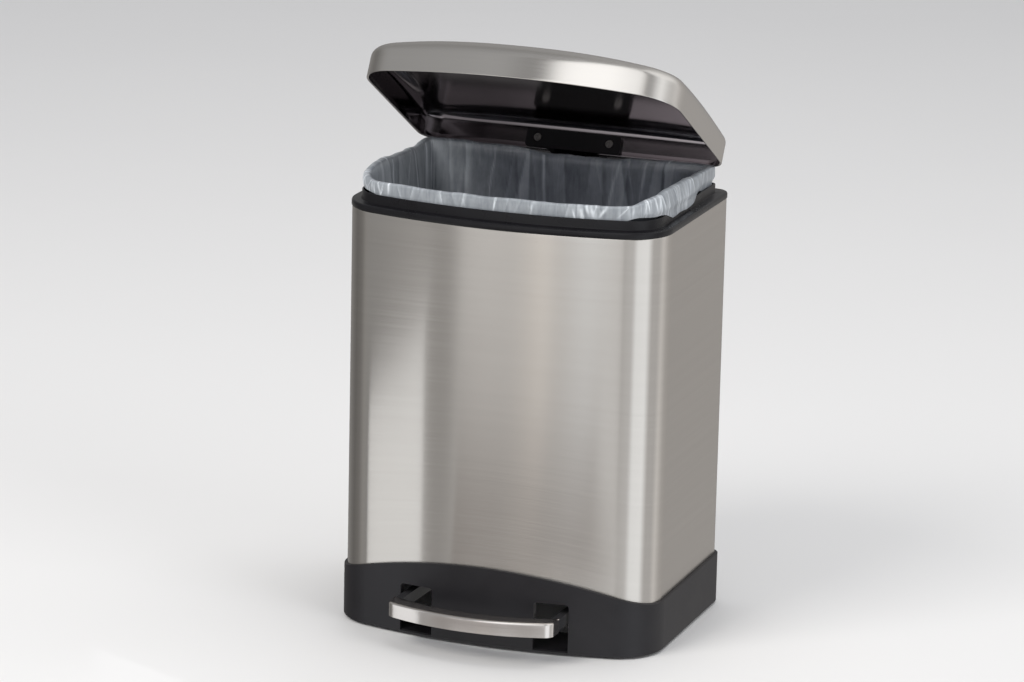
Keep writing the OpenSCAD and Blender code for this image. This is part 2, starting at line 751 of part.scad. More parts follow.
module tread_cover() {
    color("#c3beb8") tilted() difference() {
        translate([0, 0, pivot_z - tread_h / 2]) linear_extrude(tread_h) tread_outline(0);
        translate([0, 0, pivot_z - tread_h / 2 - 1])
            linear_extrude(tread_h + 1 - cover_t) tread_outline(cover_t);
    }
}

module push_rod() {
    slant = (yoke_y - rod_y) * sqrt(2);
    color("#8f9194") {
        translate([0, rod_y, tip_z + rod_seat]) cylinder(d = rod_d, h = bend_low - tip_z - rod_seat);
        translate([0, rod_y, bend_low]) {
            sphere(d = rod_d + bend_swell);
            rotate([-45, 0, 0]) cylinder(d = rod_d, h = slant);
        }
        translate([0, yoke_y, bend_high]) {
            sphere(d = rod_d + bend_swell);
            cylinder(d = rod_d, h = yoke_z - yoke_socket - bend_high);
        }
    }
}

// Plate at the rod's head, with a level slot for the crank pin
module rod_yoke() {
    tall = crank_pin_d + 2 * yoke_gap;
    color("#3a3a3c") difference() {
        translate([-yoke_t / 2, yoke_y - yoke_w / 2, yoke_z - yoke_low]) cube([yoke_t, yoke_w, yoke_h]);
        for (s = [-1, 1]) bar_x(tall, 2 * yoke_t, yoke_y + s * yoke_slot / 2, yoke_z);
        translate([-yoke_t, yoke_y - yoke_slot / 2, yoke_z - tall / 2])
            cube([2 * yoke_t, yoke_slot, tall]);
        translate([0, yoke_y, yoke_z - yoke_low - 1])
            cylinder(d = rod_d + 2 * press_gap, h = yoke_low + 1 - yoke_socket);
    }
}

// Fork that the lever's tip lifts, with an arm to the damper's rod
module rod_foot() {
    tall = tip_pin_d + 2 * tip_gap;
    bridge_z = tip_z + rod_seat - 2;
    wide = 2 * foot_cheek_x + cheek_t;
    play = 0.8;
    color("#303033") difference() {
        union() {
            for (s = [-1, 1]) translate([s * foot_cheek_x - cheek_t / 2, rod_y - foot_len / 2, tip_z - 6])
                cube([cheek_t, foot_len, rod_seat + 5]);
            translate([-wide / 2, rod_y - foot_len / 2, bridge_z]) cube([wide, foot_len, bridge_h]);
            translate([0, rod_y - 4, bridge_z]) cube([damper_x, 8, bridge_h]);
            translate([damper_x, rod_y, bridge_z]) cylinder(d = damper_rod_d + 6, h = bridge_h);
        }
        for (s = [-play, play]) bar_x(tall, 2 * wide, rod_y + s, tip_z);
        translate([-wide, rod_y - play, tip_z - tall / 2]) cube([2 * wide, 2 * play, tall]);
        translate([0, rod_y, tip_z + rod_seat]) cylinder(d = rod_d + 2 * press_gap, h = bridge_h);
        translate([damper_x, rod_y, bridge_z - 1])
            cylinder(d = damper_rod_d + 2 * press_gap, h = bridge_h + 2);
    }
}

module damper_piston() {
    head = tunnel_z + damper_len / 2 + rod_rest;
    low = tip_z + rod_seat - 2;
    color("#b0b2b5") translate([damper_x, rod_y, 0]) {
        translate([0, 0, low]) cylinder(d = damper_rod_d, h = head - low + 1);
        translate([0, 0, head]) cylinder(d = damper_d - 2 * damper_t - 2 * run_gap, h = 5);
    }
}

base();
feet();
steel_body();
collar();
hinge_housing();
housing_screws();
hinge_pin();
hinge_clips();
pivot_pin();
rod_guide();
damper_cylinder();
damper_clip();
bucket();
bag();
lid();
hinge_arm();
bracket_screws();
crank_pin();
pedal_lever();
pedal_body();
tread_cover();
tip_pin();
push_rod();
rod_yoke();
rod_foot();
damper_piston();
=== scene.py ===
import math

import bpy
import numpy as np
from mathutils import Matrix, Vector


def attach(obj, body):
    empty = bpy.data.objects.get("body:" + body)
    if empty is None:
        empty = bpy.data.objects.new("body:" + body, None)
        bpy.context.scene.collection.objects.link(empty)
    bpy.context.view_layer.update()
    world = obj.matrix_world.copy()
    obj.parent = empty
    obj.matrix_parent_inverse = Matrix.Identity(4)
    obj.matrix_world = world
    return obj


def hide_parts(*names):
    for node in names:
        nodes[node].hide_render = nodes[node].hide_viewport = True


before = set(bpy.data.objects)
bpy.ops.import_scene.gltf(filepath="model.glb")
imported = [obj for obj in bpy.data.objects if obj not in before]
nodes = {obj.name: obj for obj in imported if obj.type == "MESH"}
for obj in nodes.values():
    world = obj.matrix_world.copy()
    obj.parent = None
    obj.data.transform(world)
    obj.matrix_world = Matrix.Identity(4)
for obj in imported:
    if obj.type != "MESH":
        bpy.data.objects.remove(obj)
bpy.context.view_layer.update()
mm = 0.001

# Sizes in millimetres, as in the CAD source. The body's outline, sheet, lapped seam and push rod window
BODY_W, BODY_TOP = 250.0, 320.0
FRONT_Y, REAR_Y = -87.35, 94.65
FRONT_BOW, FRONT_R, REAR_R = 19.5, 35.0, 11.0
SHEET_T, SHEET_TUCK, BODY_ROWS = 0.8, 4.0, 60
SEAM_W, SEAM_STEP, SEAM_LAP, SEAM_LOW, SEAM_TOP = 12.0, 0.3, 0.46, 1.0, 300.0
ROD_WINDOW, ROD_WINDOW_LOW, ROD_WINDOW_H = 24.0, 273.5, 40.0
# Base, with a top line that is arched in front
BASE_H, ARCH_RISE = 40.0, 21.5
# Hinge axis, and the lid's pressing with its notch for the hinge arm
HINGE_Y, HINGE_Z, LID_OPEN = 118.65, 333.5, 30.0
LID_IN, LID_BACK, LID_T, LID_REAR_R, LID_RIM = 2.1, 5.0, 1.0, 17.0, 325.4
SKIRT_H, SHOULDER_R, SHOULDER_W, CROWN = 16.0, 10.0, 13.0, 3.0
ARM_W, ARM_GAP, PLATE_T = 40.0, 1.0, 4.0
# Collar, with a flange on the steel's edge and an upstand inside it
FLANGE_OUT, FLANGE_R, FLANGE_TOP = 0.5, 1.6, 324.8
UPSTAND_IN, UPSTAND_T, UPSTAND_TOP, INNER_BACK = 7.2, 1.4, 332.0, 5.5
# Bucket's rim, which carries the film
RIM_TOP = 340.5
# Pedal tread, and the pivot it swings on
TREAD_W, TREAD_BOW, TREAD_D, TREAD_H, TREAD_R = 131.0, 14.0, 15.0, 10.8, 9.0
TREAD_T, TREAD_BEND, TREAD_FRONT = 0.8, 1.8, -129.65
PIVOT_Y, PIVOT_Z, PEDAL_REST = -16.35, 26.7, 1.516


def bow_radius(width, rise):
    """Radius of an arc of this width and rise."""
    return (width ** 2 / 4 + rise ** 2) / (2 * rise)


BOW_R = bow_radius(BODY_W, FRONT_BOW)
ARCH_R = bow_radius(BODY_W, ARCH_RISE)
CORNER_X = BODY_W / 2 - FRONT_R
CORNER_Y = FRONT_Y + BOW_R - math.sqrt((BOW_R - FRONT_R) ** 2 - CORNER_X ** 2)


# ---------------------------------------------------------------- geometry helpers
def outline(grow=0.0, back=0.0, dense=1, rear_r=REAR_R):
    """Closed outline of the bin seen from above, from the middle of the back.

    Each stretch has equal steps, and dense multiplies their number.
    """
    half = BODY_W / 2 + grow
    cy = FRONT_Y + BOW_R
    rear = REAR_Y - back + grow
    rc = max(rear_r + grow, 3.0)
    rf = FRONT_R + grow
    phi = math.atan2(CORNER_X, cy - CORNER_Y)
    right = []

    def steps(n):
        return np.arange(n * dense) / (n * dense)

    for t in steps(24):
        right.append((t * (half - rc), rear))
    for t in steps(10):
        a = math.pi / 2 * (1 - t)
        right.append((half - rc + rc * math.cos(a), rear - rc + rc * math.sin(a)))
    for t in steps(30):
        right.append((half, (rear - rc) * (1 - t) + CORNER_Y * t))
    for t in steps(24):
        a = -t * (math.pi / 2 - phi)
        right.append((CORNER_X + rf * math.cos(a), CORNER_Y + rf * math.sin(a)))
    for t in steps(36):
        a = phi * (1 - t)
        right.append(((BOW_R + grow) * math.sin(a), cy - (BOW_R + grow) * math.cos(a)))
    right.append((0.0, cy - BOW_R - grow))
    right = np.array(right)
    left = right[1:-1][::-1] * [-1, 1]
    return np.vstack([right, left])


def along(points):
    """Distance along a closed line of points, starting at 0, with the full length as last value."""
    step = np.linalg.norm(np.roll(points, -1, axis=0) - points, axis=1)
    return np.concatenate([[0], np.cumsum(step)])


def around(stops, s, total, blur=5.0):
    """Smooth values round a closed line: stops are (distance along it, value)."""
    places = np.array([a for a, b in stops] + [total])
    values = np.array([b for a, b in stops] + [stops[0][1]])
    gap = (s + total / 2) % total - total / 2
    weight = np.exp(-(gap / blur) ** 2)
    even = np.interp(s, places, values)
    return np.real(np.fft.ifft(np.fft.fft(even) * np.fft.fft(weight / weight.sum())))


def outward(points):
    """Unit normals of a closed outline round the origin, seen from above."""
    step = np.roll(points, -1, axis=0) - np.roll(points, 1, axis=0)
    normal = np.column_stack([step[:, 1], -step[:, 0]])
    normal /= np.linalg.norm(normal, axis=1)[:, None]
    normal[(normal * points).sum(axis=1) < 0] *= -1
    return normal


def add_object(name, data):
    obj = bpy.data.objects.new(name, data)
    bpy.context.scene.collection.objects.link(obj)
    return obj


def mesh_object(name, verts, faces, material, sharp=40.0, uvs=None):
    """Smooth mesh from points in millimetres, with edges sharper than an angle kept."""
    mesh = bpy.data.meshes.new(name)
    mesh.from_pydata([tuple(v) for v in np.asarray(verts) * mm], [], faces)
    mesh.update()
    if uvs is not None:
        layer = mesh.uv_layers.new(name="UVMap")
        flat = np.array([uv for face in uvs for uv in face], dtype=float).ravel()
        layer.data.foreach_set("uv", flat)
    mesh.polygons.foreach_set("use_smooth", [True] * len(mesh.polygons))
    mesh.set_sharp_from_angle(angle=math.radians(sharp))
    mesh.materials.append(material)
    return add_object(name, mesh)


def grid_faces(rows, cols, wrap_rows=False, wrap_cols=True, flip=False):
    faces = []
    for i in range(rows if wrap_rows else rows - 1):
        a, b = i * cols, (i + 1) % rows * cols
        for j in range(cols if wrap_cols else cols - 1):
            k = (j + 1) % cols
            f = (a + j, a + k, b + k, b + j)
            faces.append(f[::-1] if flip else f)
    return faces


def grid_uvs(rows, wrap_rows=False, wrap_cols=True, flip=False):
    """UVs in metres for the faces of a grid, U along its rows and V across them."""
    m, n = rows.shape[:2]
    mid = rows[m // 2]
    step = np.linalg.norm(np.roll(mid, -1, axis=0) - mid, axis=1)
    u = np.concatenate([[0], np.cumsum(step)]) * mm
    up = np.linalg.norm(np.diff(rows, axis=0, append=rows[:1]), axis=2).mean(axis=1)
    v = np.concatenate([[0], np.cumsum(up)]) * mm
    uvs = []
    for i in range(m if wrap_rows else m - 1):
        for j in range(n if wrap_cols else n - 1):
            q = [(u[j], v[i]), (u[j + 1], v[i]), (u[j + 1], v[i + 1]), (u[j], v[i + 1])]
            uvs.append(q[::-1] if flip else q)
    return uvs


def grid_object(name, rows, material, wrap_rows=False, wrap_cols=True, flip=False, sharp=40.0):
    """Mesh of rows of points (rows x cols x 3)."""
    rows = np.asarray(rows, dtype=float)
    m, n = rows.shape[:2]
    faces = grid_faces(m, n, wrap_rows, wrap_cols, flip)
    uvs = grid_uvs(rows, wrap_rows, wrap_cols, flip)
    return mesh_object(name, rows.reshape(-1, 3), faces, material, sharp, uvs)


def sweep(profile):
    """Rows of points round the bin: each entry of the profile is (grow, z) or (grow, z, back)."""
    rows = []
    for grow, z, *back in profile:
        p = outline(grow, *back)
        rows.append(np.column_stack([p, np.full(len(p), float(z))]))
    return np.array(rows)


def base_line(p):
    """Height of the base's top line at the points of an outline."""
    arch = BASE_H + ARCH_RISE - ARCH_R + np.sqrt(np.maximum(ARCH_R ** 2 - p[:, 0] ** 2, 0))
    return np.where(p[:, 1] < CORNER_Y, np.maximum(arch, BASE_H), BASE_H)


def arc(cx, cz, r, a0, a1, n):
    """Points of an arc in a profile, angles in degrees."""
    turns = [math.radians(a) for a in np.linspace(a0, a1, n)]
    return [(cx + r * math.cos(a), cz + r * math.sin(a)) for a in turns]


def turn_about_hinge(obj, degrees):
    """Turns an object's points about the lid's hinge axis."""
    pivot = Vector((0, HINGE_Y * mm, HINGE_Z * mm))
    turn = Matrix.Rotation(math.radians(-degrees), 4, "X")
    obj.data.transform(Matrix.Translation(pivot) @ turn @ Matrix.Translation(-pivot))


def cut(obj, low, high):
    """Cuts a box, given by its two corners in millimetres, out of a closed piece."""
    x, y, z = zip(low, high)
    corners = [(x[i] * mm, y[j] * mm, z[k] * mm) for k in (0, 1) for j in (0, 1) for i in (0, 1)]
    sides = [(0, 2, 3, 1), (4, 5, 7, 6), (0, 1, 5, 4), (2, 6, 7, 3), (0, 4, 6, 2), (1, 3, 7, 5)]
    mesh = bpy.data.meshes.new("cutter")
    mesh.from_pydata(corners, [], sides)
    box = add_object("cutter", mesh)
    modifier = obj.modifiers.new("cut", "BOOLEAN")
    modifier.object, modifier.operation, modifier.solver = box, "DIFFERENCE", "EXACT"
    bpy.context.view_layer.update()
    evaluated = obj.evaluated_get(bpy.context.evaluated_depsgraph_get())
    result = bpy.data.meshes.new_from_object(evaluated)
    obj.modifiers.remove(modifier)
    name, old = obj.data.name, obj.data
    obj.data = result
    bpy.data.meshes.remove(old)
    result.name = name
    bpy.data.objects.remove(box)
    bpy.data.meshes.remove(mesh)


def wobble(p, scale, seed):
    """Smooth noise at points, from a few sine waves of random direction; about -1 to 1."""
    r = np.random.default_rng(seed)
    total = np.zeros(len(p))
    for _ in range(7):
        k = r.normal(size=p.shape[1])
        k *= 2 * math.pi / scale / np.linalg.norm(k) * r.uniform(0.6, 1.5)
        total += np.sin(p @ k + r.uniform(0, 2 * math.pi))
    return total / 3.5


# ---------------------------------------------------------------- materials
def new_material(name):
    material = bpy.data.materials.new(name)
    material.use_nodes = True
    tree = material.node_tree
    return material, tree, tree.nodes["Principled BSDF"]


def link_noise(tree, coords, scale, detail=4.0, rough=0.55, stretch=(1, 1, 1)):
    mapping = tree.nodes.new("ShaderNodeMapping")
    mapping.inputs["Scale"].default_value = stretch
    noise = tree.nodes.new("ShaderNodeTexNoise")
    noise.inputs["Scale"].default_value = scale
    noise.inputs["Detail"].default_value = detail
    noise.inputs["Roughness"].default_value = rough
    tree.links.new(coords, mapping.inputs["Vector"])
    tree.links.new(mapping.outputs["Vector"], noise.inputs["Vector"])
    return noise.outputs["Fac"]


def ramp(tree, fac, low, high, lo_value, hi_value):
    node = tree.nodes.new("ShaderNodeMapRange")
    node.inputs["From Min"].default_value = low
    node.inputs["From Max"].default_value = high
    node.inputs["To Min"].default_value = lo_value
    node.inputs["To Max"].default_value = hi_value
    tree.links.new(fac, node.inputs["Value"])
    return node.outputs["Result"]


def colour_mix(tree, fac, a, b):
    """Mix of two colours, each a tuple or a socket."""
    node = tree.nodes.new("ShaderNodeMix")
    node.data_type = "RGBA"
    for socket, colour in ((node.inputs[6], a), (node.inputs[7], b)):
        if isinstance(colour, tuple):
            socket.default_value = (*colour, 1)
        else:
            tree.links.new(colour, socket)
    tree.links.new(fac, node.inputs[0])
    return node.outputs[2]


def calculate(tree, operation, a, b, clamp=False):
    """Math node on a socket and either a second socket or a number."""
    node = tree.nodes.new("ShaderNodeMath")
    node.operation = operation
    node.use_clamp = clamp
    tree.links.new(a, node.inputs[0])
    if isinstance(b, float):
        node.inputs[1].default_value = b
    else:
        tree.links.new(b, node.inputs[1])
    return node.outputs[0]


def bump(tree, height, strength, distance):
    node = tree.nodes.new("ShaderNodeBump")
    node.inputs["Strength"].default_value = strength
    node.inputs["Distance"].default_value = distance
    tree.links.new(height, node.inputs["Height"])
    return node.outputs["Normal"]


def brushed(name, colour, dark, rough, aniso=0.75):
    """Brushed steel, with its brush lines along U of the UV map."""
    material, tree, shader = new_material(name)
    coords = tree.nodes.new("ShaderNodeTexCoord")
    fine = link_noise(tree, coords.outputs["UV"], 1.0, 3, 0.6, (3, 900, 1))
    coarse = link_noise(tree, coords.outputs["UV"], 1.0, 2, 0.5, (1.2, 160, 1))
    cloud = link_noise(tree, coords.outputs["Object"], 9.0, 3, 0.5)
    lines = calculate(tree, "ADD", ramp(tree, fine, 0.3, 0.7, 0, 0.6), ramp(tree, coarse, 0.3, 0.7, 0, 0.4))
    dull = calculate(tree, "ADD", ramp(tree, fine, 0.3, 0.7, rough - 0.03, rough + 0.03),
                     ramp(tree, cloud, 0.3, 0.7, -0.02, 0.02))
    tangent = tree.nodes.new("ShaderNodeTangent")
    tangent.direction_type = "UV_MAP"
    tangent.uv_map = "UVMap"
    shader.inputs["Metallic"].default_value = 1.0
    shader.inputs["Anisotropic"].default_value = aniso
    shader.inputs["Anisotropic Rotation"].default_value = 0.25
    tree.links.new(colour_mix(tree, lines, dark, colour), shader.inputs["Base Color"])
    tree.links.new(dull, shader.inputs["Roughness"])
    tree.links.new(tangent.outputs["Tangent"], shader.inputs["Tangent"])
    tree.links.new(bump(tree, fine, 0.05, 0.00003), shader.inputs["Normal"])
    return material


def plastic(name, colour, rough, grain=1800.0, depth=0.00003, vary=0.25, gloss=0.5):
    """Moulded plastic with a fine cast grain and slightly uneven gloss."""
    material, tree, shader = new_material(name)
    coords = tree.nodes.new("ShaderNodeTexCoord").outputs["Object"]
    fine = link_noise(tree, coords, grain, 3, 0.6)
    cloud = link_noise(tree, coords, 18.0, 4, 0.6)
    lighter = tuple(min(1, c * (1 + vary) + 0.004) for c in colour)
    patches = ramp(tree, cloud, 0.35, 0.7, 0, 1)
    tree.links.new(colour_mix(tree, patches, colour, lighter), shader.inputs["Base Color"])
    tree.links.new(ramp(tree, cloud, 0.3, 0.7, rough - 0.04, rough + 0.05), shader.inputs["Roughness"])
    tree.links.new(bump(tree, fine, 0.3, depth), shader.inputs["Normal"])
    shader.inputs["Specular IOR Level"].default_value = gloss
    return material


def turned_steel(name, colour, rough):
    """Plain machined or plated steel."""
    material, tree, shader = new_material(name)
    coords = tree.nodes.new("ShaderNodeTexCoord").outputs["Object"]
    fine = link_noise(tree, coords, 900, 4, 0.6)
    shader.inputs["Metallic"].default_value = 1.0
    darker = tuple(c * 0.8 for c in colour)
    tree.links.new(colour_mix(tree, fine, darker, colour), shader.inputs["Base Color"])
    tree.links.new(ramp(tree, fine, 0.3, 0.7, rough - 0.05, rough + 0.08), shader.inputs["Roughness"])
    return material


STEEL, STEEL_DARK = (0.66, 0.628, 0.59), (0.62, 0.588, 0.552)
steel_body_mat = brushed("steel_brushed_body", STEEL, STEEL_DARK, 0.2, 0.97)
steel_lid_mat = brushed("steel_brushed_lid", (0.72, 0.693, 0.66), (0.68, 0.652, 0.62), 0.2, 0.95)
steel_tread_mat = brushed("steel_brushed_tread", (0.76, 0.72, 0.69), (0.71, 0.67, 0.64), 0.2)
base_mat = plastic("plastic_base", (0.0095, 0.0085, 0.0105), 0.45, gloss=0.42)
collar_mat = plastic("plastic_collar", (0.0062, 0.0058, 0.0072), 0.28, gloss=0.26)
arm_mat = plastic("plastic_arm", (0.0065, 0.006, 0.007), 0.34, gloss=0.3)
pedal_mat = plastic("plastic_pedal", (0.0045, 0.0042, 0.005), 0.55, gloss=0.12)
housing_mat = plastic("plastic_housing", (0.017, 0.016, 0.018), 0.42)
bucket_mat = plastic("plastic_bucket", (0.03, 0.032, 0.036), 0.4)
rubber_mat = plastic("rubber_feet", (0.02, 0.02, 0.02), 0.75, 900, 0.00005)
lever_mat = plastic("lever_coated", (0.02, 0.0195, 0.021), 0.5, 1200)
pin_mat = turned_steel("steel_pins", (0.62, 0.62, 0.62), 0.28)
screw_mat = turned_steel("steel_screws", (0.3, 0.29, 0.28), 0.3)
damper_mat = plastic("plastic_damper", (0.05, 0.05, 0.055), 0.4)


def lid_inside_material():
    """Smooth inner face of the lid: thin dull streaks of the drawn sheet, on a colour of painted shade, darker
    than the outer steel and darkest towards the left.
    """
    material, tree, shader = new_material("steel_lid_inside")
    coords = tree.nodes.new("ShaderNodeTexCoord")
    streaks_and_painted_light = link_noise(tree, coords.outputs["Object"], 1.0, 3, 0.6, (14, 60, 60))
    cloud = link_noise(tree, coords.outputs["Object"], 14.0, 4, 0.6)
    broad = link_noise(tree, coords.outputs["Object"], 6.0, 2, 0.5)
    split = tree.nodes.new("ShaderNodeSeparateXYZ")
    tree.links.new(coords.outputs["Object"], split.inputs[0])
    # painted shade: the inner face is darker towards the left, standing in for the dark reflection of the
    # bucket's inside there
    painted_shade_and_streaks = calculate(tree, "MULTIPLY", ramp(tree, split.outputs["X"], -0.06, 0.12, 0.25, 1.0),
                      ramp(tree, streaks_and_painted_light, 0.2, 0.8, 0.7, 1.0))
    shader.inputs["Metallic"].default_value = 1.0
    tree.links.new(colour_mix(tree, painted_shade_and_streaks, (0.075, 0.064, 0.070), (0.50, 0.46, 0.48)),
                   shader.inputs["Base Color"])
    tree.links.new(ramp(tree, cloud, 0.3, 0.7, 0.11, 0.17), shader.inputs["Roughness"])
    tree.links.new(bump(tree, broad, 0.12, 0.002), shader.inputs["Normal"])
    return material


lid_inside_mat = lid_inside_material()

NODE_MATERIALS = {
    "base": base_mat, "feet": rubber_mat, "steel_body": steel_body_mat, "collar": collar_mat,
    "hinge_housing": housing_mat, "housing_screws": screw_mat, "hinge_pin": pin_mat, "hinge_clips": pin_mat,
    "pivot_pin": pin_mat, "rod_guide": housing_mat, "damper_cylinder": damper_mat, "damper_clip": housing_mat,
    "bucket": bucket_mat, "bag": bucket_mat, "lid": steel_lid_mat, "hinge_arm": arm_mat,
    "bracket_screws": screw_mat, "crank_pin": pin_mat, "pedal_lever": lever_mat, "pedal_body": pedal_mat,
    "tread_cover": steel_tread_mat, "tip_pin": pin_mat, "push_rod": pin_mat, "rod_yoke": arm_mat,
    "rod_foot": arm_mat, "damper_piston": pin_mat,
}
for name, material in NODE_MATERIALS.items():
    mesh = nodes[name].data
    if len(mesh.materials) == 0:
        mesh.materials.append(material)
    for i in range(len(mesh.materials)):
        mesh.materials[i] = material


# ---------------------------------------------------------------- steel body
# Waves of the sheet, which is never quite flat, and how far below the rim and above the base they fade
WAVE_LENGTH, WAVE_DEPTH, FADE_TOP, FADE_LOW = 95, 0.10, 30, 20


def make_body():
    """Brushed sheet: outer face, rolled top edge and inner face, with the lapped seam at the back."""
    def ring(grow):
        q = outline(grow)
        y = q[0, 1]
        lap = [(SEAM_W / 2 - SEAM_STEP, y), (SEAM_W / 2, y)]
        return np.vstack([q[:1], lap, q[2:-1], [(-x, y) for x, y in lap[::-1]]])

    p = ring(0.0)
    bottom = base_line(p) - SHEET_TUCK
    top, low = BODY_TOP - SHEET_T, BASE_H - SHEET_TUCK
    # two close rows make the seam's lower end
    start = (BASE_H + SEAM_LOW - low) / (top - low)
    heights = np.concatenate([[0, start, start + 0.001], np.linspace(0.03, 1, BODY_ROWS - 3)])
    rows = [np.column_stack([p, bottom + (top - bottom) * t]) for t in heights]
    for g, z in arc(-SHEET_T, top, SHEET_T, 15, 90, 5):
        rows.append(np.column_stack([ring(g), np.full(len(p), z)]))
    inner = ring(-SHEET_T - 0.3)
    for z in (np.full(len(p), BODY_TOP - 0.2), np.full(len(p), BODY_TOP - 30), bottom):
        rows.append(np.column_stack([inner, z]))
    rows = np.array(rows)

    outer = rows[:BODY_ROWS]
    height = outer[:, :, 2]
    amount = wobble(outer.reshape(-1, 3) * [1, 1, 0.55], WAVE_LENGTH, 3).reshape(BODY_ROWS, -1) * WAVE_DEPTH
    fade = np.clip((BODY_TOP - height) / FADE_TOP, 0, 1) * np.clip((height - bottom) / FADE_LOW, 0, 1)
    outer[:, :, :2] += (amount * fade)[:, :, None] * outward(p)[None]
    seam = (height > BASE_H + SEAM_LOW + 0.1) & (height < SEAM_TOP)
    seam = seam & (np.abs(p[:, 0]) < SEAM_W / 2 - 0.1) & (p[:, 1] > 0)
    outer[:, :, 1] += SEAM_LAP * seam

    obj = grid_object("body_shell", rows, steel_body_mat, wrap_rows=True, flip=True)
    # window for the push rod, behind the hinge housing
    cut(obj, (-ROD_WINDOW / 2, REAR_Y - 6, ROD_WINDOW_LOW),
        (ROD_WINDOW / 2, REAR_Y + 6, ROD_WINDOW_LOW + ROD_WINDOW_H))
    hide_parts("steel_body")
    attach(obj, "bin")


make_body()


# ---------------------------------------------------------------- lid
# Dome of the top over its shoulder, in front, across the middle and at the rear, and its fall to the sides
FRONT_RISE, FRONT_FALL = 2.4, 5.4
MIDDLE_RISE, MIDDLE_FALL = CROWN + 1.0, 1.8
REAR_RISE, REAR_FALL = 0.4, 1.6
# Share of the shoulder's width where the crown begins, rows of each stretch, and the skirt's rolled hem
SHOULDER_END, SHOULDER_ROWS, CROWN_ROWS, HEM_ROWS = 0.99, 14, 26, 3
HEM_R, HEM_INNER_R = 0.55, 0.85


def lid_height(x, y, half_x, middle_y, half_y):
    """How far the lid's top stands above its shoulder's mean height: a smooth dome, lowest at the corners."""
    u, v = np.minimum(np.abs(x) / half_x, 1), (y - middle_y) / half_y
    front = FRONT_RISE - FRONT_FALL * u ** 3
    rear = REAR_RISE - REAR_FALL * u ** 3
    across = MIDDLE_RISE - MIDDLE_FALL * u ** 2
    return across + (rear - front) / 2 * v + ((rear + front) / 2 - across) * v ** 2


def make_lid():
    """Pressing with a rolled hem, skirt, shoulder and domed crown, and a wall of the sheet's thickness."""
    rows = []
    top = LID_RIM + SKIRT_H

    def ring(grow):
        return outline(grow, LID_BACK, 1, LID_REAR_R)

    edge = ring(-LID_IN - SHOULDER_W * SHOULDER_END)
    low, high = edge.min(axis=0), edge.max(axis=0)
    extent = (high[0], (low[1] + high[1]) / 2, (high[1] - low[1]) / 2)
    arch = lid_height(edge[:, 0], edge[:, 1], *extent)

    def add(grow, z):
        q = ring(grow)
        rows.append(np.column_stack([q, np.broadcast_to(z, len(q))]))

    def shoulder(thick, angles):
        """Elliptical shoulder, wide and low, of the face that lies this far inside the outer one."""
        for a in angles:
            ca, sa = math.cos(math.radians(a)), math.sin(math.radians(a))
            add(-LID_IN - thick - (SHOULDER_W - thick) * (1 - ca), top + (SHOULDER_R + arch - thick) * sa)

    def crown(thick, steps):
        """Dome of the same face, by shares of the way from the shoulder to the middle."""
        start = ring(-LID_IN - thick - (SHOULDER_W - thick) * SHOULDER_END)
        middle = np.array([0.0, extent[1]])
        for t in steps:
            q = middle + (start - middle) * (1 - t)
            z = top + SHOULDER_R - thick + lid_height(q[:, 0], q[:, 1], *extent)
            rows.append(np.column_stack([q, z]))

    for g, z in arc(-LID_IN - HEM_R, LID_RIM + HEM_R, HEM_R, 270, 360, 5):
        add(g, z)
    for z in np.linspace(LID_RIM + HEM_R + 1.5, top, 8):
        add(-LID_IN, z)
    shoulder(0, np.linspace(6, 84, SHOULDER_ROWS))
    crown_start = len(rows)
    crown(0, np.linspace(0.03, 0.985, CROWN_ROWS))
    outer_count = len(rows)
    crown(LID_T, np.linspace(0.985, 0.03, CROWN_ROWS))
    shoulder(LID_T, np.linspace(84, 6, SHOULDER_ROWS))
    for z in np.linspace(top, LID_RIM + 2.4, 6):
        add(-LID_IN - LID_T, z)
    for g, z in arc(-LID_IN - LID_T + 0.05, LID_RIM + 1.2, HEM_INNER_R, 180, 262, 6):
        add(g, z)

    rows = np.array(rows)
    m, n = rows.shape[:2]
    faces = grid_faces(m, n, wrap_rows=True, flip=True)
    uvs = grid_uvs(rows, wrap_rows=True, flip=True)

    def flat_uvs(face):
        return [tuple(rows[v // n, v % n, :2] * mm) for v in face]

    # the brush lines run straight across the top, from the shoulder inward
    for k in range(crown_start * n, (outer_count - 1) * n):
        uvs[k] = flat_uvs(faces[k])
    # the strip that would join the outer and inner crown is left out, and each gets its own middle
    gap = range((outer_count - 1) * n, outer_count * n)
    outer_end = [(outer_count - 1) * n + j for j in range(n)]
    inner_end = [outer_count * n + j for j in range(n)]
    middles = [tuple(outer_end[::-1]), tuple(inner_end)]
    inside = [outer_count <= k // n < m - HEM_ROWS for k in range(len(faces)) if k not in gap]
    faces = [f for k, f in enumerate(faces) if k not in gap] + middles
    uvs = [f for k, f in enumerate(uvs) if k not in gap] + [flat_uvs(face) for face in middles]
    obj = mesh_object("lid_shell", rows.reshape(-1, 3), faces, steel_lid_mat, 60, uvs)
    obj.data.materials.append(lid_inside_mat)
    obj.data.polygons.foreach_set("material_index", np.array(inside + [False, True], dtype=int))
    # notch in the rear skirt for the hinge arm
    face = REAR_Y - LID_BACK - LID_IN
    half = ARM_W / 2 + ARM_GAP
    cut(obj, (-half, face - 3, LID_RIM - 2), (half, face + 5, HINGE_Z + PLATE_T + ARM_GAP))
    turn_about_hinge(obj, LID_OPEN)
    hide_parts("lid")
    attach(obj, "lid_group")


make_lid()


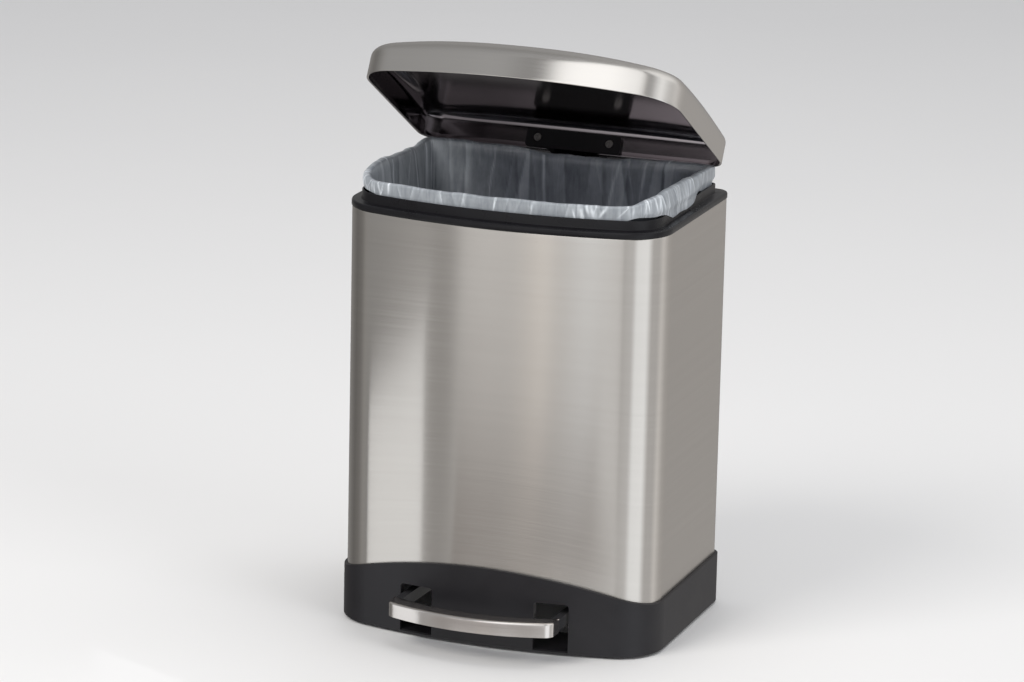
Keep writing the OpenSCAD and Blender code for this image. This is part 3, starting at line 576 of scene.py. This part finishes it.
# ---------------------------------------------------------------- collar
def make_collar():
    """Flange over the steel's edge, upstand inside it, and a skirt down behind the sheet."""
    f, u = FLANGE_OUT, -UPSTAND_IN
    profile = [(-1.2, BODY_TOP + 0.05), (f - 0.3, BODY_TOP + 0.05), (f, BODY_TOP + 0.4)]
    profile += arc(f - FLANGE_R, FLANGE_TOP - FLANGE_R, FLANGE_R, 0, 90, 6)
    profile += [(u + 1.4, FLANGE_TOP - 0.1), (u + 0.5, FLANGE_TOP + 0.3)]
    upstand = [(u + 0.4, FLANGE_TOP + 0.1), (u, FLANGE_TOP + 1.3)]
    upstand += arc(u - UPSTAND_T / 2, UPSTAND_TOP - UPSTAND_T / 2, UPSTAND_T / 2, 0, 180, 7)
    upstand += [(u - UPSTAND_T, FLANGE_TOP - 2.0), (u - UPSTAND_T, BODY_TOP + 2.6)]
    profile += [(g, z, INNER_BACK) for g, z in upstand]
    profile += [(-2.6, BODY_TOP + 2.4), (-2.6, BODY_TOP - 14), (-1.2, BODY_TOP - 14)]
    obj = grid_object("collar_ring", sweep(profile), collar_mat, wrap_rows=True, flip=True, sharp=50)
    # way for the push rod
    cut(obj, (-ROD_WINDOW / 2, REAR_Y - 5, BODY_TOP - 15), (ROD_WINDOW / 2, REAR_Y - 0.2, BODY_TOP + 0.02))
    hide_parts("collar")
    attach(obj, "bin")


make_collar()


# ---------------------------------------------------------------- bag
# How far the film stands up above the bucket's rim: (distance round the rim from the middle of the back, rise)
FILM_RISE = [(0, 1.2), (40, 1.6), (56, 3.0), (80, 4.4), (112, 4.2), (128, 4.0), (150, 4.6), (185, 6.0),
             (212, 7.0), (240, 7.4), (268, 7.0), (284, 4.4), (296, 0.8), (330, 0.0), (395, 0.3), (450, 0.0),
             (492, 0.2), (514, 0.2), (530, 1.4), (548, 4.2), (566, 6.0), (584, 5.4), (615, 3.4), (645, 2.4),
             (668, 4.0), (700, 4.6), (716, 4.6), (728, 4.0), (745, 4.2), (764, 3.4), (782, 1.6)]
# Where the edge of the fold hangs outside the collar's upstand (1) or is tucked behind it (0)
FILM_OUTSIDE = [(0, 0), (158, 0), (184, 1), (238, 1), (266, 0.5), (288, 0.3), (304, 0), (504, 0),
                (518, 0.3), (540, 0.3), (556, 0)]
# Density of the outline, place in from the steel, height over the rim, and the fold's radius and half width
FILM_DENSE, FILM_IN, FILM_OVER = 4, UPSTAND_IN + 1.6, 1.2
FOLD_R, FOLD_HALF, FOLD_OFF = 1.4, 1.9, 0.75
# How far the fold's outer edge hangs down, how much more outside the upstand, and its lift between the two
EDGE_DROP, EDGE_DROP_OUTSIDE, EDGE_LIFT = 9.5, 3.5, 18
# Least and greatest loft of the film, and the line inside the steel that it doesn't pass
LOFT_MIN, LOFT_MAX, FILM_LIMIT = -1.0, 2.9, -5.2
# Height that the band's painted light is measured from, its height at the top, and the reach of folds and
# creases
BAND_Z, BAND_TOP, BAND_REACH, BAND_SHINE_REACH = 334, 9, 10, 12
WALL_REACH, WALL_SHINE_REACH = 90, 70
# Rows down the inside, the bucket's draft in degrees and the height of its floor
FILM_DEPTHS = np.concatenate([[1.5, 3, 4.5, 6, 8, 10, 13, 16, 20, 25, 30, 36, 43, 50, 58],
                              np.linspace(70, RIM_TOP - 60, 14)])
DRAFT, FILM_FLOOR = 1.5, 52.5


def make_bag():
    """Film folded over the rim: outer fold, over the top, down inside to the floor."""
    ring = outline(0.0, 0.0, FILM_DENSE)
    normal = outward(outline(0.0, INNER_BACK, FILM_DENSE))
    count = len(ring)
    s, total = along(ring)[:-1], along(ring)[-1]
    phase = s / total * 2 * math.pi

    def away(where):
        """Distance round the rim from a place, negative before it."""
        return (s - where + total / 2) % total - total / 2

    def ridges(seed, waves, wide, power):
        """Sum of rounded ridges at random places round the rim."""
        r = np.random.default_rng(seed)
        out = np.zeros(count)
        for _ in range(waves):
            d = np.abs(away(r.uniform(0, total))) / r.uniform(wide * 0.4, wide * 1.4)
            out += r.uniform(0.3, 1.0) * np.exp(-d ** power)
        return out

    def folds(seed, number, wide, slant, weight, where=(0, 1)):
        """Folds of the film: place, width, slant, strength, the height they are strongest at, facing side."""
        r = np.random.default_rng(seed)
        return [(total * r.uniform(*where), r.uniform(*wide), r.normal(0, slant), r.uniform(*weight),
                 r.uniform(0, 1), r.choice((-1, 1))) for _ in range(number)]

    def show(group, height, reach):
        """Painted light and shade of a group of folds at one height: sharp lit edge, soft fall, painted dark
        line behind.
        """
        out = np.zeros(count)
        for where, width, slant, weight, start, side in group:
            d = away(where + slant * height) * side
            lit = np.clip(1 - d / width, 0, 1) ** 1.4 / (1 + np.exp(np.clip(-d / 0.3, -30, 30)))
            dark = 0.45 * np.exp(-(d / (0.5 + 0.12 * width)) ** 2) * (d < 0)
            out += weight * (lit - dark) * np.exp(-((height - reach * start) / (reach * (0.35 + start))) ** 2)
        return out

    def shine(group, height, reach):
        """Painted highlights along thin creases of a group at one height."""
        out = np.zeros(count)
        for where, width, slant, weight, start, side in group:
            mark = np.exp(-(away(where + slant * height + 0.4 * side * math.sin(height / 5)) / width) ** 2)
            out += weight * mark * np.exp(-((height - reach * start) / (reach * 0.45)) ** 2)
        return out

    rise = around(FILM_RISE, s, total)
    rise = np.maximum(rise + 0.25 * np.sin(phase * 17 + 1) + 0.2 * np.sin(phase * 29 + 2) * (rise > 0.5), 0)
    loose = np.clip(rise / 6, 0, 1)
    outside = np.clip(around(FILM_OUTSIDE, s, total), 0, 1)

    pleats = ridges(11, 64, 4.5, 1.5)
    puffs = ridges(12, 50, 5.0, 1.4)
    drape_high = ridges(13, 22, 11.0, 1.6)
    drape_low = ridges(14, 18, 16.0, 1.6)
    band_folds = folds(21, 90, (1.2, 6.0), 0.22, (0.08, 0.5))
    band_folds += folds(26, 16, (1.5, 7.0), 0.5, (0.2, 0.7), (0.20, 0.37))
    band_folds += folds(27, 30, (0.9, 3.0), 0.5, (0.2, 0.7), (0.62, 0.71))
    band_shine = folds(24, 26, (0.4, 1.1), 0.25, (0.2, 0.9))
    band_shine += folds(28, 8, (0.5, 1.5), 0.5, (0.3, 0.8), (0.31, 0.42))
    wall_folds = folds(22, 44, (5.0, 26.0), 0.12, (0.08, 0.42))
    wall_folds += folds(29, 26, (2.0, 7.0), 0.16, (0.05, 0.3))
    wall_shine = folds(23, 34, (0.6, 1.5), 0.14, (0.1, 0.6))
    rows, fold, streaks_and_painted_light = [], [], []

    # painted light and shade of the folded band at one height
    def band_light(height):
        return show(band_folds, height, BAND_REACH) + shine(band_shine, height, BAND_SHINE_REACH)

    def add(grow, z, fold_value, painted_light_value):
        """One row of the film: how far outside the steel, how high, how much folded over with painted backlight
        added, and its painted light and shade.
        """
        q = outline(float(np.mean(grow)), INNER_BACK, FILM_DENSE) + normal * (grow - np.mean(grow))[:, None]
        rows.append(np.column_stack([q, np.broadcast_to(z, count)]))
        fold.append(np.broadcast_to(fold_value, count))
        streaks_and_painted_light.append(painted_light_value)

    slack = 0.7 + 1.5 * loose + 0.75 * (pleats - 0.8)
    top = RIM_TOP + FILM_OVER + rise
    # outer fold, from its lower edge up; the edge passes over the upstand where the film hangs outside
    low = RIM_TOP - EDGE_DROP - EDGE_DROP_OUTSIDE * outside
    low = low + EDGE_LIFT * outside * (1 - outside) + 0.4 * np.sin(phase * 23)
    for t in np.linspace(0, 1, 14):
        z = low + (top - FOLD_R - low) * t
        over = np.clip((z - UPSTAND_TOP - 1.0) / 4, 0, 1)
        band = band_light(z.mean() - BAND_Z)
        loft = np.clip(over * slack + over * 0.6 * band, LOFT_MIN, LOFT_MAX) * (1 - 0.5 * outside * (1 - t))
        bulge = outside * (3.1 - 1.5 * t ** 2) * np.clip(2.2 - 2.2 * t, 0, 1) ** 0.5
        add(np.minimum(-FILM_IN - FOLD_OFF + loft + bulge, FILM_LIMIT), z, 1.0, band)
    # over the top
    middle = -FILM_IN - FOLD_OFF - FOLD_HALF + 0.5 * slack
    half = FOLD_HALF + 0.5 * np.clip(slack, LOFT_MIN, LOFT_MAX)
    puff = 0.35 * (puffs - 0.8) * (1 - 0.5 * loose)
    band = band_light(BAND_TOP)
    for a in np.linspace(25, 155, 9):
        ca, sa = math.cos(math.radians(a)), math.sin(math.radians(a))
        fade = 1.0 - 0.6 * min(max((a - 60) / 95, 0), 1)
        add(middle + half * ca, top - FOLD_R + (FOLD_R + puff) * sa, fade, band)
    # inside, drafted like the bucket; the left wall is painted lighter, as if lit from behind
    left = np.clip((-ring[:, 0] - 50) / 45, 0, 1)
    for depth in FILM_DEPTHS:
        z = RIM_TOP + FILM_OVER - depth + rise * math.exp(-depth / 9)
        inset = FILM_IN + 6.3 + max(depth - FILM_OVER, 0) * math.tan(math.radians(DRAFT))
        inset = inset - max(1 - depth / 6, 0) ** 2 * (1.7 + 0.8 * loose)
        near, far = min(depth / 14, 1), min(depth / 200, 1)
        sway = (drape_high * (1 - far) + drape_low * far) * (0.6 + 4.0 * min(depth / 55, 1)) * near
        light = show(wall_folds, depth, WALL_REACH) + shine(wall_shine, depth, WALL_SHINE_REACH)
        # painted backlight: the film on the left wall gets the lighter, less see-through look of the folded
        # film
        painted_backlight = 0.95 * left * math.exp(-depth / 75)
        add(-inset - sway - 0.5 * light * near, z, painted_backlight + 0.4 * math.exp(-depth / 5) * (1 - painted_backlight), light)
    # across the floor
    bottom = rows[-1]
    centre = bottom.mean(axis=0)
    for t in (0.03, 0.12, 0.3, 0.6, 0.95):
        q = centre + (bottom - centre) * (1 - t)
        q[:, 2] = FILM_FLOOR + 2.0 * (1 - t) * np.sin(phase * 7) ** 2
        rows.append(q)
        fold.append(np.zeros(count))
        streaks_and_painted_light.append(show(wall_folds, 200, WALL_REACH))

    obj = grid_object("bag_film", rows, film_material(), sharp=180)
    for attribute, values, shift in (("fold", fold, 0.0), ("streaks_and_painted_light", streaks_and_painted_light, 0.3)):
        layer = obj.data.attributes.new(attribute, "FLOAT", "POINT")
        layer.data.foreach_set("value", np.clip(np.concatenate(values) + shift, 0, 1.3))
    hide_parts("bag")
    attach(obj, "bin")


def film_material():
    """Thin milky film: nearly white where it is folded over, see-through where it hangs; painted light and
    shade of its folds, and painted backlight on the left wall.
    """
    material, tree, shader = new_material("film_bag")
    coords = tree.nodes.new("ShaderNodeTexCoord")

    def value(name):
        node = tree.nodes.new("ShaderNodeAttribute")
        node.attribute_name = name
        return node.outputs["Fac"]

    def plus(a, b, clamp=True):
        return calculate(tree, "ADD", a, b, clamp)

    fold, streaks_and_painted_light = value("fold"), value("streaks_and_painted_light")
    cloud = link_noise(tree, coords.outputs["Object"], 34.0, 4, 0.6, (1, 1, 0.45))
    mottle = link_noise(tree, coords.outputs["Object"], 160.0, 3, 0.6, (1, 1, 0.5))
    fine = link_noise(tree, coords.outputs["UV"], 1.0, 3, 0.6, (420, 40, 1))
    mottled = plus(ramp(tree, fine, 0.4, 0.75, 0, 0.10), ramp(tree, mottle, 0.35, 0.75, 0, 0.16))
    # painted light and shade: the folds' values carry the film's colour from dark to light
    light = plus(ramp(tree, streaks_and_painted_light, 0.0, 1.25, 0, 0.9), mottled)
    hanging = colour_mix(tree, light, (0.055, 0.062, 0.085), (0.44, 0.465, 0.51))
    folded = colour_mix(tree, light, (0.145, 0.165, 0.19), (0.90, 0.94, 0.97))
    see_through = plus(ramp(tree, streaks_and_painted_light, 0.2, 1.0, 0.0, 0.3), ramp(tree, cloud, 0.35, 0.7, 0.66, 0.86))
    milky = plus(ramp(tree, streaks_and_painted_light, 0.2, 1.0, 0.0, 0.2), ramp(tree, cloud, 0.3, 0.7, 0.74, 0.9))
    alpha = tree.nodes.new("ShaderNodeMix")
    alpha.data_type = "FLOAT"
    for socket, source in ((0, fold), (2, see_through), (3, milky)):
        tree.links.new(source, alpha.inputs[socket])
    height = plus(cloud, ramp(tree, fine, 0.3, 0.7, 0.0, 0.35), False)
    shader.inputs["Roughness"].default_value = 0.3
    shader.inputs["IOR"].default_value = 1.5
    tree.links.new(colour_mix(tree, fold, hanging, folded), shader.inputs["Base Color"])
    tree.links.new(alpha.outputs[0], shader.inputs["Alpha"])
    tree.links.new(bump(tree, height, 0.45, 0.0011), shader.inputs["Normal"])
    return material


make_bag()


# ---------------------------------------------------------------- pedal tread
def make_tread():
    """Steel cover of the tread: front, ends and top of one bent sheet."""
    r = bow_radius(TREAD_W, TREAD_BOW)
    cy = TREAD_FRONT + r
    fx = TREAD_W / 2 - TREAD_R
    fy = cy - math.sqrt((r - TREAD_R) ** 2 - fx ** 2)
    end_y = TREAD_FRONT + TREAD_BOW + TREAD_D

    def path(inset):
        """Line round the ends and the bowed front, this far inside the sheet's outer face."""
        phi = math.atan2(fx, cy - fy)
        pts = [(TREAD_W / 2 - inset, end_y * (1 - t) + fy * t) for t in np.linspace(0, 1, 8)[:-1]]
        for a in np.linspace(0, math.pi / 2 - phi, 16)[:-1]:
            q = TREAD_R - inset
            pts.append((fx + q * math.cos(a), fy - q * math.sin(a)))
        for a in np.linspace(phi, 0, 40):
            pts.append(((r - inset) * math.sin(a), cy - (r - inset) * math.cos(a)))
        pts = np.array(pts)
        return np.vstack([pts, pts[:-1][::-1] * [-1, 1]])

    outer = path(0)
    back_y = TREAD_FRONT + TREAD_D + r - np.sqrt(r ** 2 - outer[:, 0] ** 2)
    back = np.column_stack([outer[:, 0], back_y])
    half = TREAD_H / 2
    rows = []

    def inside(inset):
        """The same line, kept in front of the tread's rear edge."""
        line = path(inset)
        line[:, 1] = np.minimum(line[:, 1], back_y)
        return line

    def add(points, z):
        rows.append(np.column_stack([points, np.full(len(points), PIVOT_Z + z)]))

    for z in np.linspace(-half, half - TREAD_BEND, 5):
        add(outer, z)
    for a in np.linspace(15, 90, 6):
        ca, sa = math.cos(math.radians(a)), math.sin(math.radians(a))
        edge = inside(TREAD_BEND * (1 - ca))
        add(edge, half - TREAD_BEND + TREAD_BEND * sa)
    for k in np.linspace(0.15, 0.98, 7):
        add(edge + (back - edge) * k, half)
    add(back, half - 0.25)
    add(back, half - TREAD_T)
    inner = inside(TREAD_T)
    add(inner + (back - inner) * 0.5, half - TREAD_T)
    add(inner, half - TREAD_T)
    add(inner, -half + 0.1)
    obj = grid_object("tread_skin", rows, steel_tread_mat, wrap_rows=True, wrap_cols=False, sharp=50)
    swing = Matrix.Translation(Vector((0, PIVOT_Y, PIVOT_Z)) * mm)
    obj.data.transform(swing @ Matrix.Rotation(math.radians(-PEDAL_REST), 4, "X") @ swing.inverted())
    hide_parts("tread_cover")
    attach(obj, "pedal_group")


make_tread()


# ---------------------------------------------------------------- small bevels on the CAD nodes that stay
BEVEL_WIDTHS = {"base": 0.5, "hinge_housing": 1.0, "hinge_arm": 0.5, "pedal_body": 0.8,
                "pedal_lever": 0.6, "rod_foot": 0.4, "rod_yoke": 0.4}
BEVEL_ANGLE, BEVEL_SEGMENTS = 35.0, 2

for name, width in BEVEL_WIDTHS.items():
    bevel = nodes[name].modifiers.new("edges", "BEVEL")
    bevel.width = width * mm
    bevel.segments = BEVEL_SEGMENTS
    bevel.limit_method = "ANGLE"
    bevel.angle_limit = math.radians(BEVEL_ANGLE)
    bevel.harden_normals = False


# ---------------------------------------------------------------- camera, floor and light
# Camera of the photograph: turn, tilt and roll in radians, place in metres, focal length in pixels
CAMERA_YAW, CAMERA_PITCH, CAMERA_ROLL = 0.352359213, 0.25716661, 0.0225129066
CAMERA_PLACE, CAMERA_REACH = (1.14367, -3.14681, 1.09517), 60
FOCAL_PIXELS, PHOTO_WIDTH, SENSOR_WIDTH = 4603.67637, 1024, 36.0
# Floor and lamps, in metres
FLOOR_SIZE, FLOOR_COLOUR, FLOOR_ROUGH = 60, (0.80, 0.79, 0.775), 0.6
LAMP_TARGET = (0, 0, 0.2)


def make_camera():
    level = Vector((math.cos(CAMERA_YAW), math.sin(CAMERA_YAW), 0))
    flat = math.cos(CAMERA_PITCH)
    forward = Vector((-math.sin(CAMERA_YAW) * flat, math.cos(CAMERA_YAW) * flat, -math.sin(CAMERA_PITCH)))
    upright = level.cross(forward)
    right = level * math.cos(CAMERA_ROLL) + upright * math.sin(CAMERA_ROLL)
    up = -level * math.sin(CAMERA_ROLL) + upright * math.cos(CAMERA_ROLL)
    data = bpy.data.cameras.new("camera")
    data.sensor_width = SENSOR_WIDTH
    data.lens = FOCAL_PIXELS / PHOTO_WIDTH * SENSOR_WIDTH
    data.clip_end = CAMERA_REACH
    camera = add_object("camera", data)
    turn = Matrix((right, up, -forward)).transposed().to_4x4()
    turn.translation = Vector(CAMERA_PLACE)
    camera.matrix_world = turn
    bpy.context.scene.camera = camera


def quad(name, corners, material):
    """One flat face."""
    mesh = bpy.data.meshes.new(name)
    mesh.from_pydata(corners, [], [(0, 1, 2, 3)])
    mesh.materials.append(material)
    return add_object(name, mesh)


def make_floor():
    """Pale floor, which reflections don't show."""
    material, tree, shader = new_material("floor_pale")
    coords = tree.nodes.new("ShaderNodeTexCoord").outputs["Object"]
    cloud = link_noise(tree, coords, 3.0, 3, 0.5)
    darker = tuple(c * 0.98 for c in FLOOR_COLOUR)
    tree.links.new(colour_mix(tree, cloud, darker, FLOOR_COLOUR), shader.inputs["Base Color"])
    shader.inputs["Roughness"].default_value = FLOOR_ROUGH
    half = FLOOR_SIZE / 2
    floor = quad("floor", [(-half, -half, 0), (half, -half, 0), (half, half, 0), (-half, half, 0)], material)
    floor.visible_glossy = False


def area(name, size, location, power, colour=(1, 1, 1)):
    """Soft rectangular lamp that reflections don't show."""
    data = bpy.data.lights.new(name, "AREA")
    data.shape = "RECTANGLE"
    data.size, data.size_y = size
    data.energy = power
    data.color = colour
    obj = add_object(name, data)
    obj.location = location
    direction = Vector(LAMP_TARGET) - Vector(location)
    obj.rotation_euler = direction.to_track_quat("-Z", "Y").to_euler()
    obj.visible_glossy = False


def card(name, corners, colour, strength):
    """Glowing card near the bin that shows only in reflections."""
    material = bpy.data.materials.new(name)
    material.use_nodes = True
    tree = material.node_tree
    tree.nodes.clear()
    out = tree.nodes.new("ShaderNodeOutputMaterial")
    glow = tree.nodes.new("ShaderNodeEmission")
    glow.inputs["Color"].default_value = (*colour, 1)
    glow.inputs["Strength"].default_value = strength
    tree.links.new(glow.outputs[0], out.inputs["Surface"])
    obj = quad(name, corners, material)
    for kind in ("camera", "diffuse", "transmission", "shadow", "volume_scatter"):
        setattr(obj, "visible_" + kind, False)


def direction_ramp(tree, turn, cards):
    """Levels of light round the bin, by direction in degrees from the front, to the right."""
    node = tree.nodes.new("ShaderNodeValToRGB")
    elements = node.color_ramp.elements
    while len(elements) < len(cards):
        elements.new(0.5)
    for element, (angle, level, warm) in zip(elements, cards):
        element.position = (angle + 180) / 360
        element.color = (level * (1 + warm), level, level * (1 - warm), 1)
    tree.links.new(turn, node.inputs["Fac"])
    return node.outputs["Color"]


# Soft light and dark panels that stand round the studio: direction, level, warmth
LOW_PANELS = [(-180, 0.30, 0.02), (-165, 0.30, 0.02), (-125, 0.24, 0.02), (-100, 0.17, 0.02), (-80, 0.22, 0.02),
              (-66, 0.34, 0.01), (-50, 0.34, 0.0), (-36, 0.44, 0.01), (-33, 0.37, 0.01), (-29, 0.42, 0.01),
              (-26.5, 0.74, 0.0), (-21, 0.78, 0.0), (-15, 0.75, 0.0), (-11, 0.82, 0.02), (-8, 0.96, 0.03),
              (-5, 0.76, 0.0), (2, 0.98, -0.03), (7, 0.84, -0.01), (13, 0.60, 0.0), (35, 0.70, -0.01),
              (46, 1.1, -0.03), (72, 1.14, -0.03), (86, 0.58, 0.0), (104, 0.56, 0.0), (118, 0.76, 0.01),
              (138, 0.50, 0.02), (158, 0.42, 0.03), (180, 0.36, 0.02)]
HIGH_PANELS = [(-180, 0.45, 0.0), (-120, 0.28, 0.0), (-60, 0.38, -0.01), (-28, 0.43, -0.01), (-23, 0.28, 0.0),
               (-17, 0.20, 0.0), (-13, 1.5, -0.01), (3, 1.45, -0.01), (13, 1.15, -0.01), (26, 0.90, 0.0),
               (38, 0.45, 0.0), (53, 0.40, 0.0), (64, 0.7, -0.01), (78, 1.05, -0.01), (128, 1.0, 0.0),
               (150, 0.75, 0.0), (180, 0.5, 0.0)]


# Plain light that matt surfaces get, and the share of the way up where low panels give way to high ones
PLAIN_COLOUR, PLAIN_STRENGTH = (0.93, 0.95, 1.0), 0.55
PANELS_LOW_END, PANELS_HIGH_START = 0.12, 0.5


def make_world():
    """Plain light for matt surfaces, and the panels for whatever reflects."""
    world = bpy.data.worlds.new("studio")
    bpy.context.scene.world = world
    world.use_nodes = True
    tree = world.node_tree
    plain_light = tree.nodes["Background"]
    plain_light.inputs["Color"].default_value = (*PLAIN_COLOUR, 1)
    plain_light.inputs["Strength"].default_value = PLAIN_STRENGTH
    split = tree.nodes.new("ShaderNodeSeparateXYZ")
    tree.links.new(tree.nodes.new("ShaderNodeTexCoord").outputs["Generated"], split.inputs[0])
    behind = calculate(tree, "MULTIPLY", split.outputs["Y"], -1.0)
    angle = calculate(tree, "ARCTAN2", split.outputs["X"], behind)
    turn = ramp(tree, angle, -math.pi, math.pi, 0, 1)
    upward = ramp(tree, split.outputs["Z"], PANELS_LOW_END, PANELS_HIGH_START, 0, 1)
    panels = colour_mix(tree, upward, direction_ramp(tree, turn, LOW_PANELS),
                        direction_ramp(tree, turn, HIGH_PANELS))
    studio = tree.nodes.new("ShaderNodeBackground")
    tree.links.new(panels, studio.inputs["Color"])
    choose = tree.nodes.new("ShaderNodeMixShader")
    tree.links.new(tree.nodes.new("ShaderNodeLightPath").outputs["Is Glossy Ray"], choose.inputs[0])
    tree.links.new(plain_light.outputs[0], choose.inputs[1])
    tree.links.new(studio.outputs[0], choose.inputs[2])
    tree.links.new(choose.outputs[0], tree.nodes["World Output"].inputs["Surface"])


# Corners in metres: a card at the front left, and one on the floor in front that the lower steel reflects
LEFT_CARD = [(-0.262, -0.209, -0.15), (-0.170, -0.2495, -0.15),
             (-0.170, -0.2495, 0.19), (-0.262, -0.209, 0.120)]
FLOOR_CARD = [(-0.09, -0.20, 0.001), (0.12, -0.20, 0.001), (0.12, -0.62, 0.001), (-0.30, -0.62, 0.001)]

make_camera()
make_floor()
make_world()
card("card_left", LEFT_CARD, (0.98, 1.0, 1.02), 1.02)
card("card_floor", FLOOR_CARD, (1.0, 0.95, 0.92), 0.34)
area("key", (1.6, 1.6), (-1.2, -2.2, 2.6), 60, (1, 0.98, 0.96))
area("fill", (1.4, 2.0), (2.4, -1.0, 1.4), 22, (0.97, 0.98, 1))
area("top", (2.0, 2.0), (0.3, 0.6, 3.0), 30)

scene = bpy.context.scene
scene.view_settings.view_transform = "Standard"
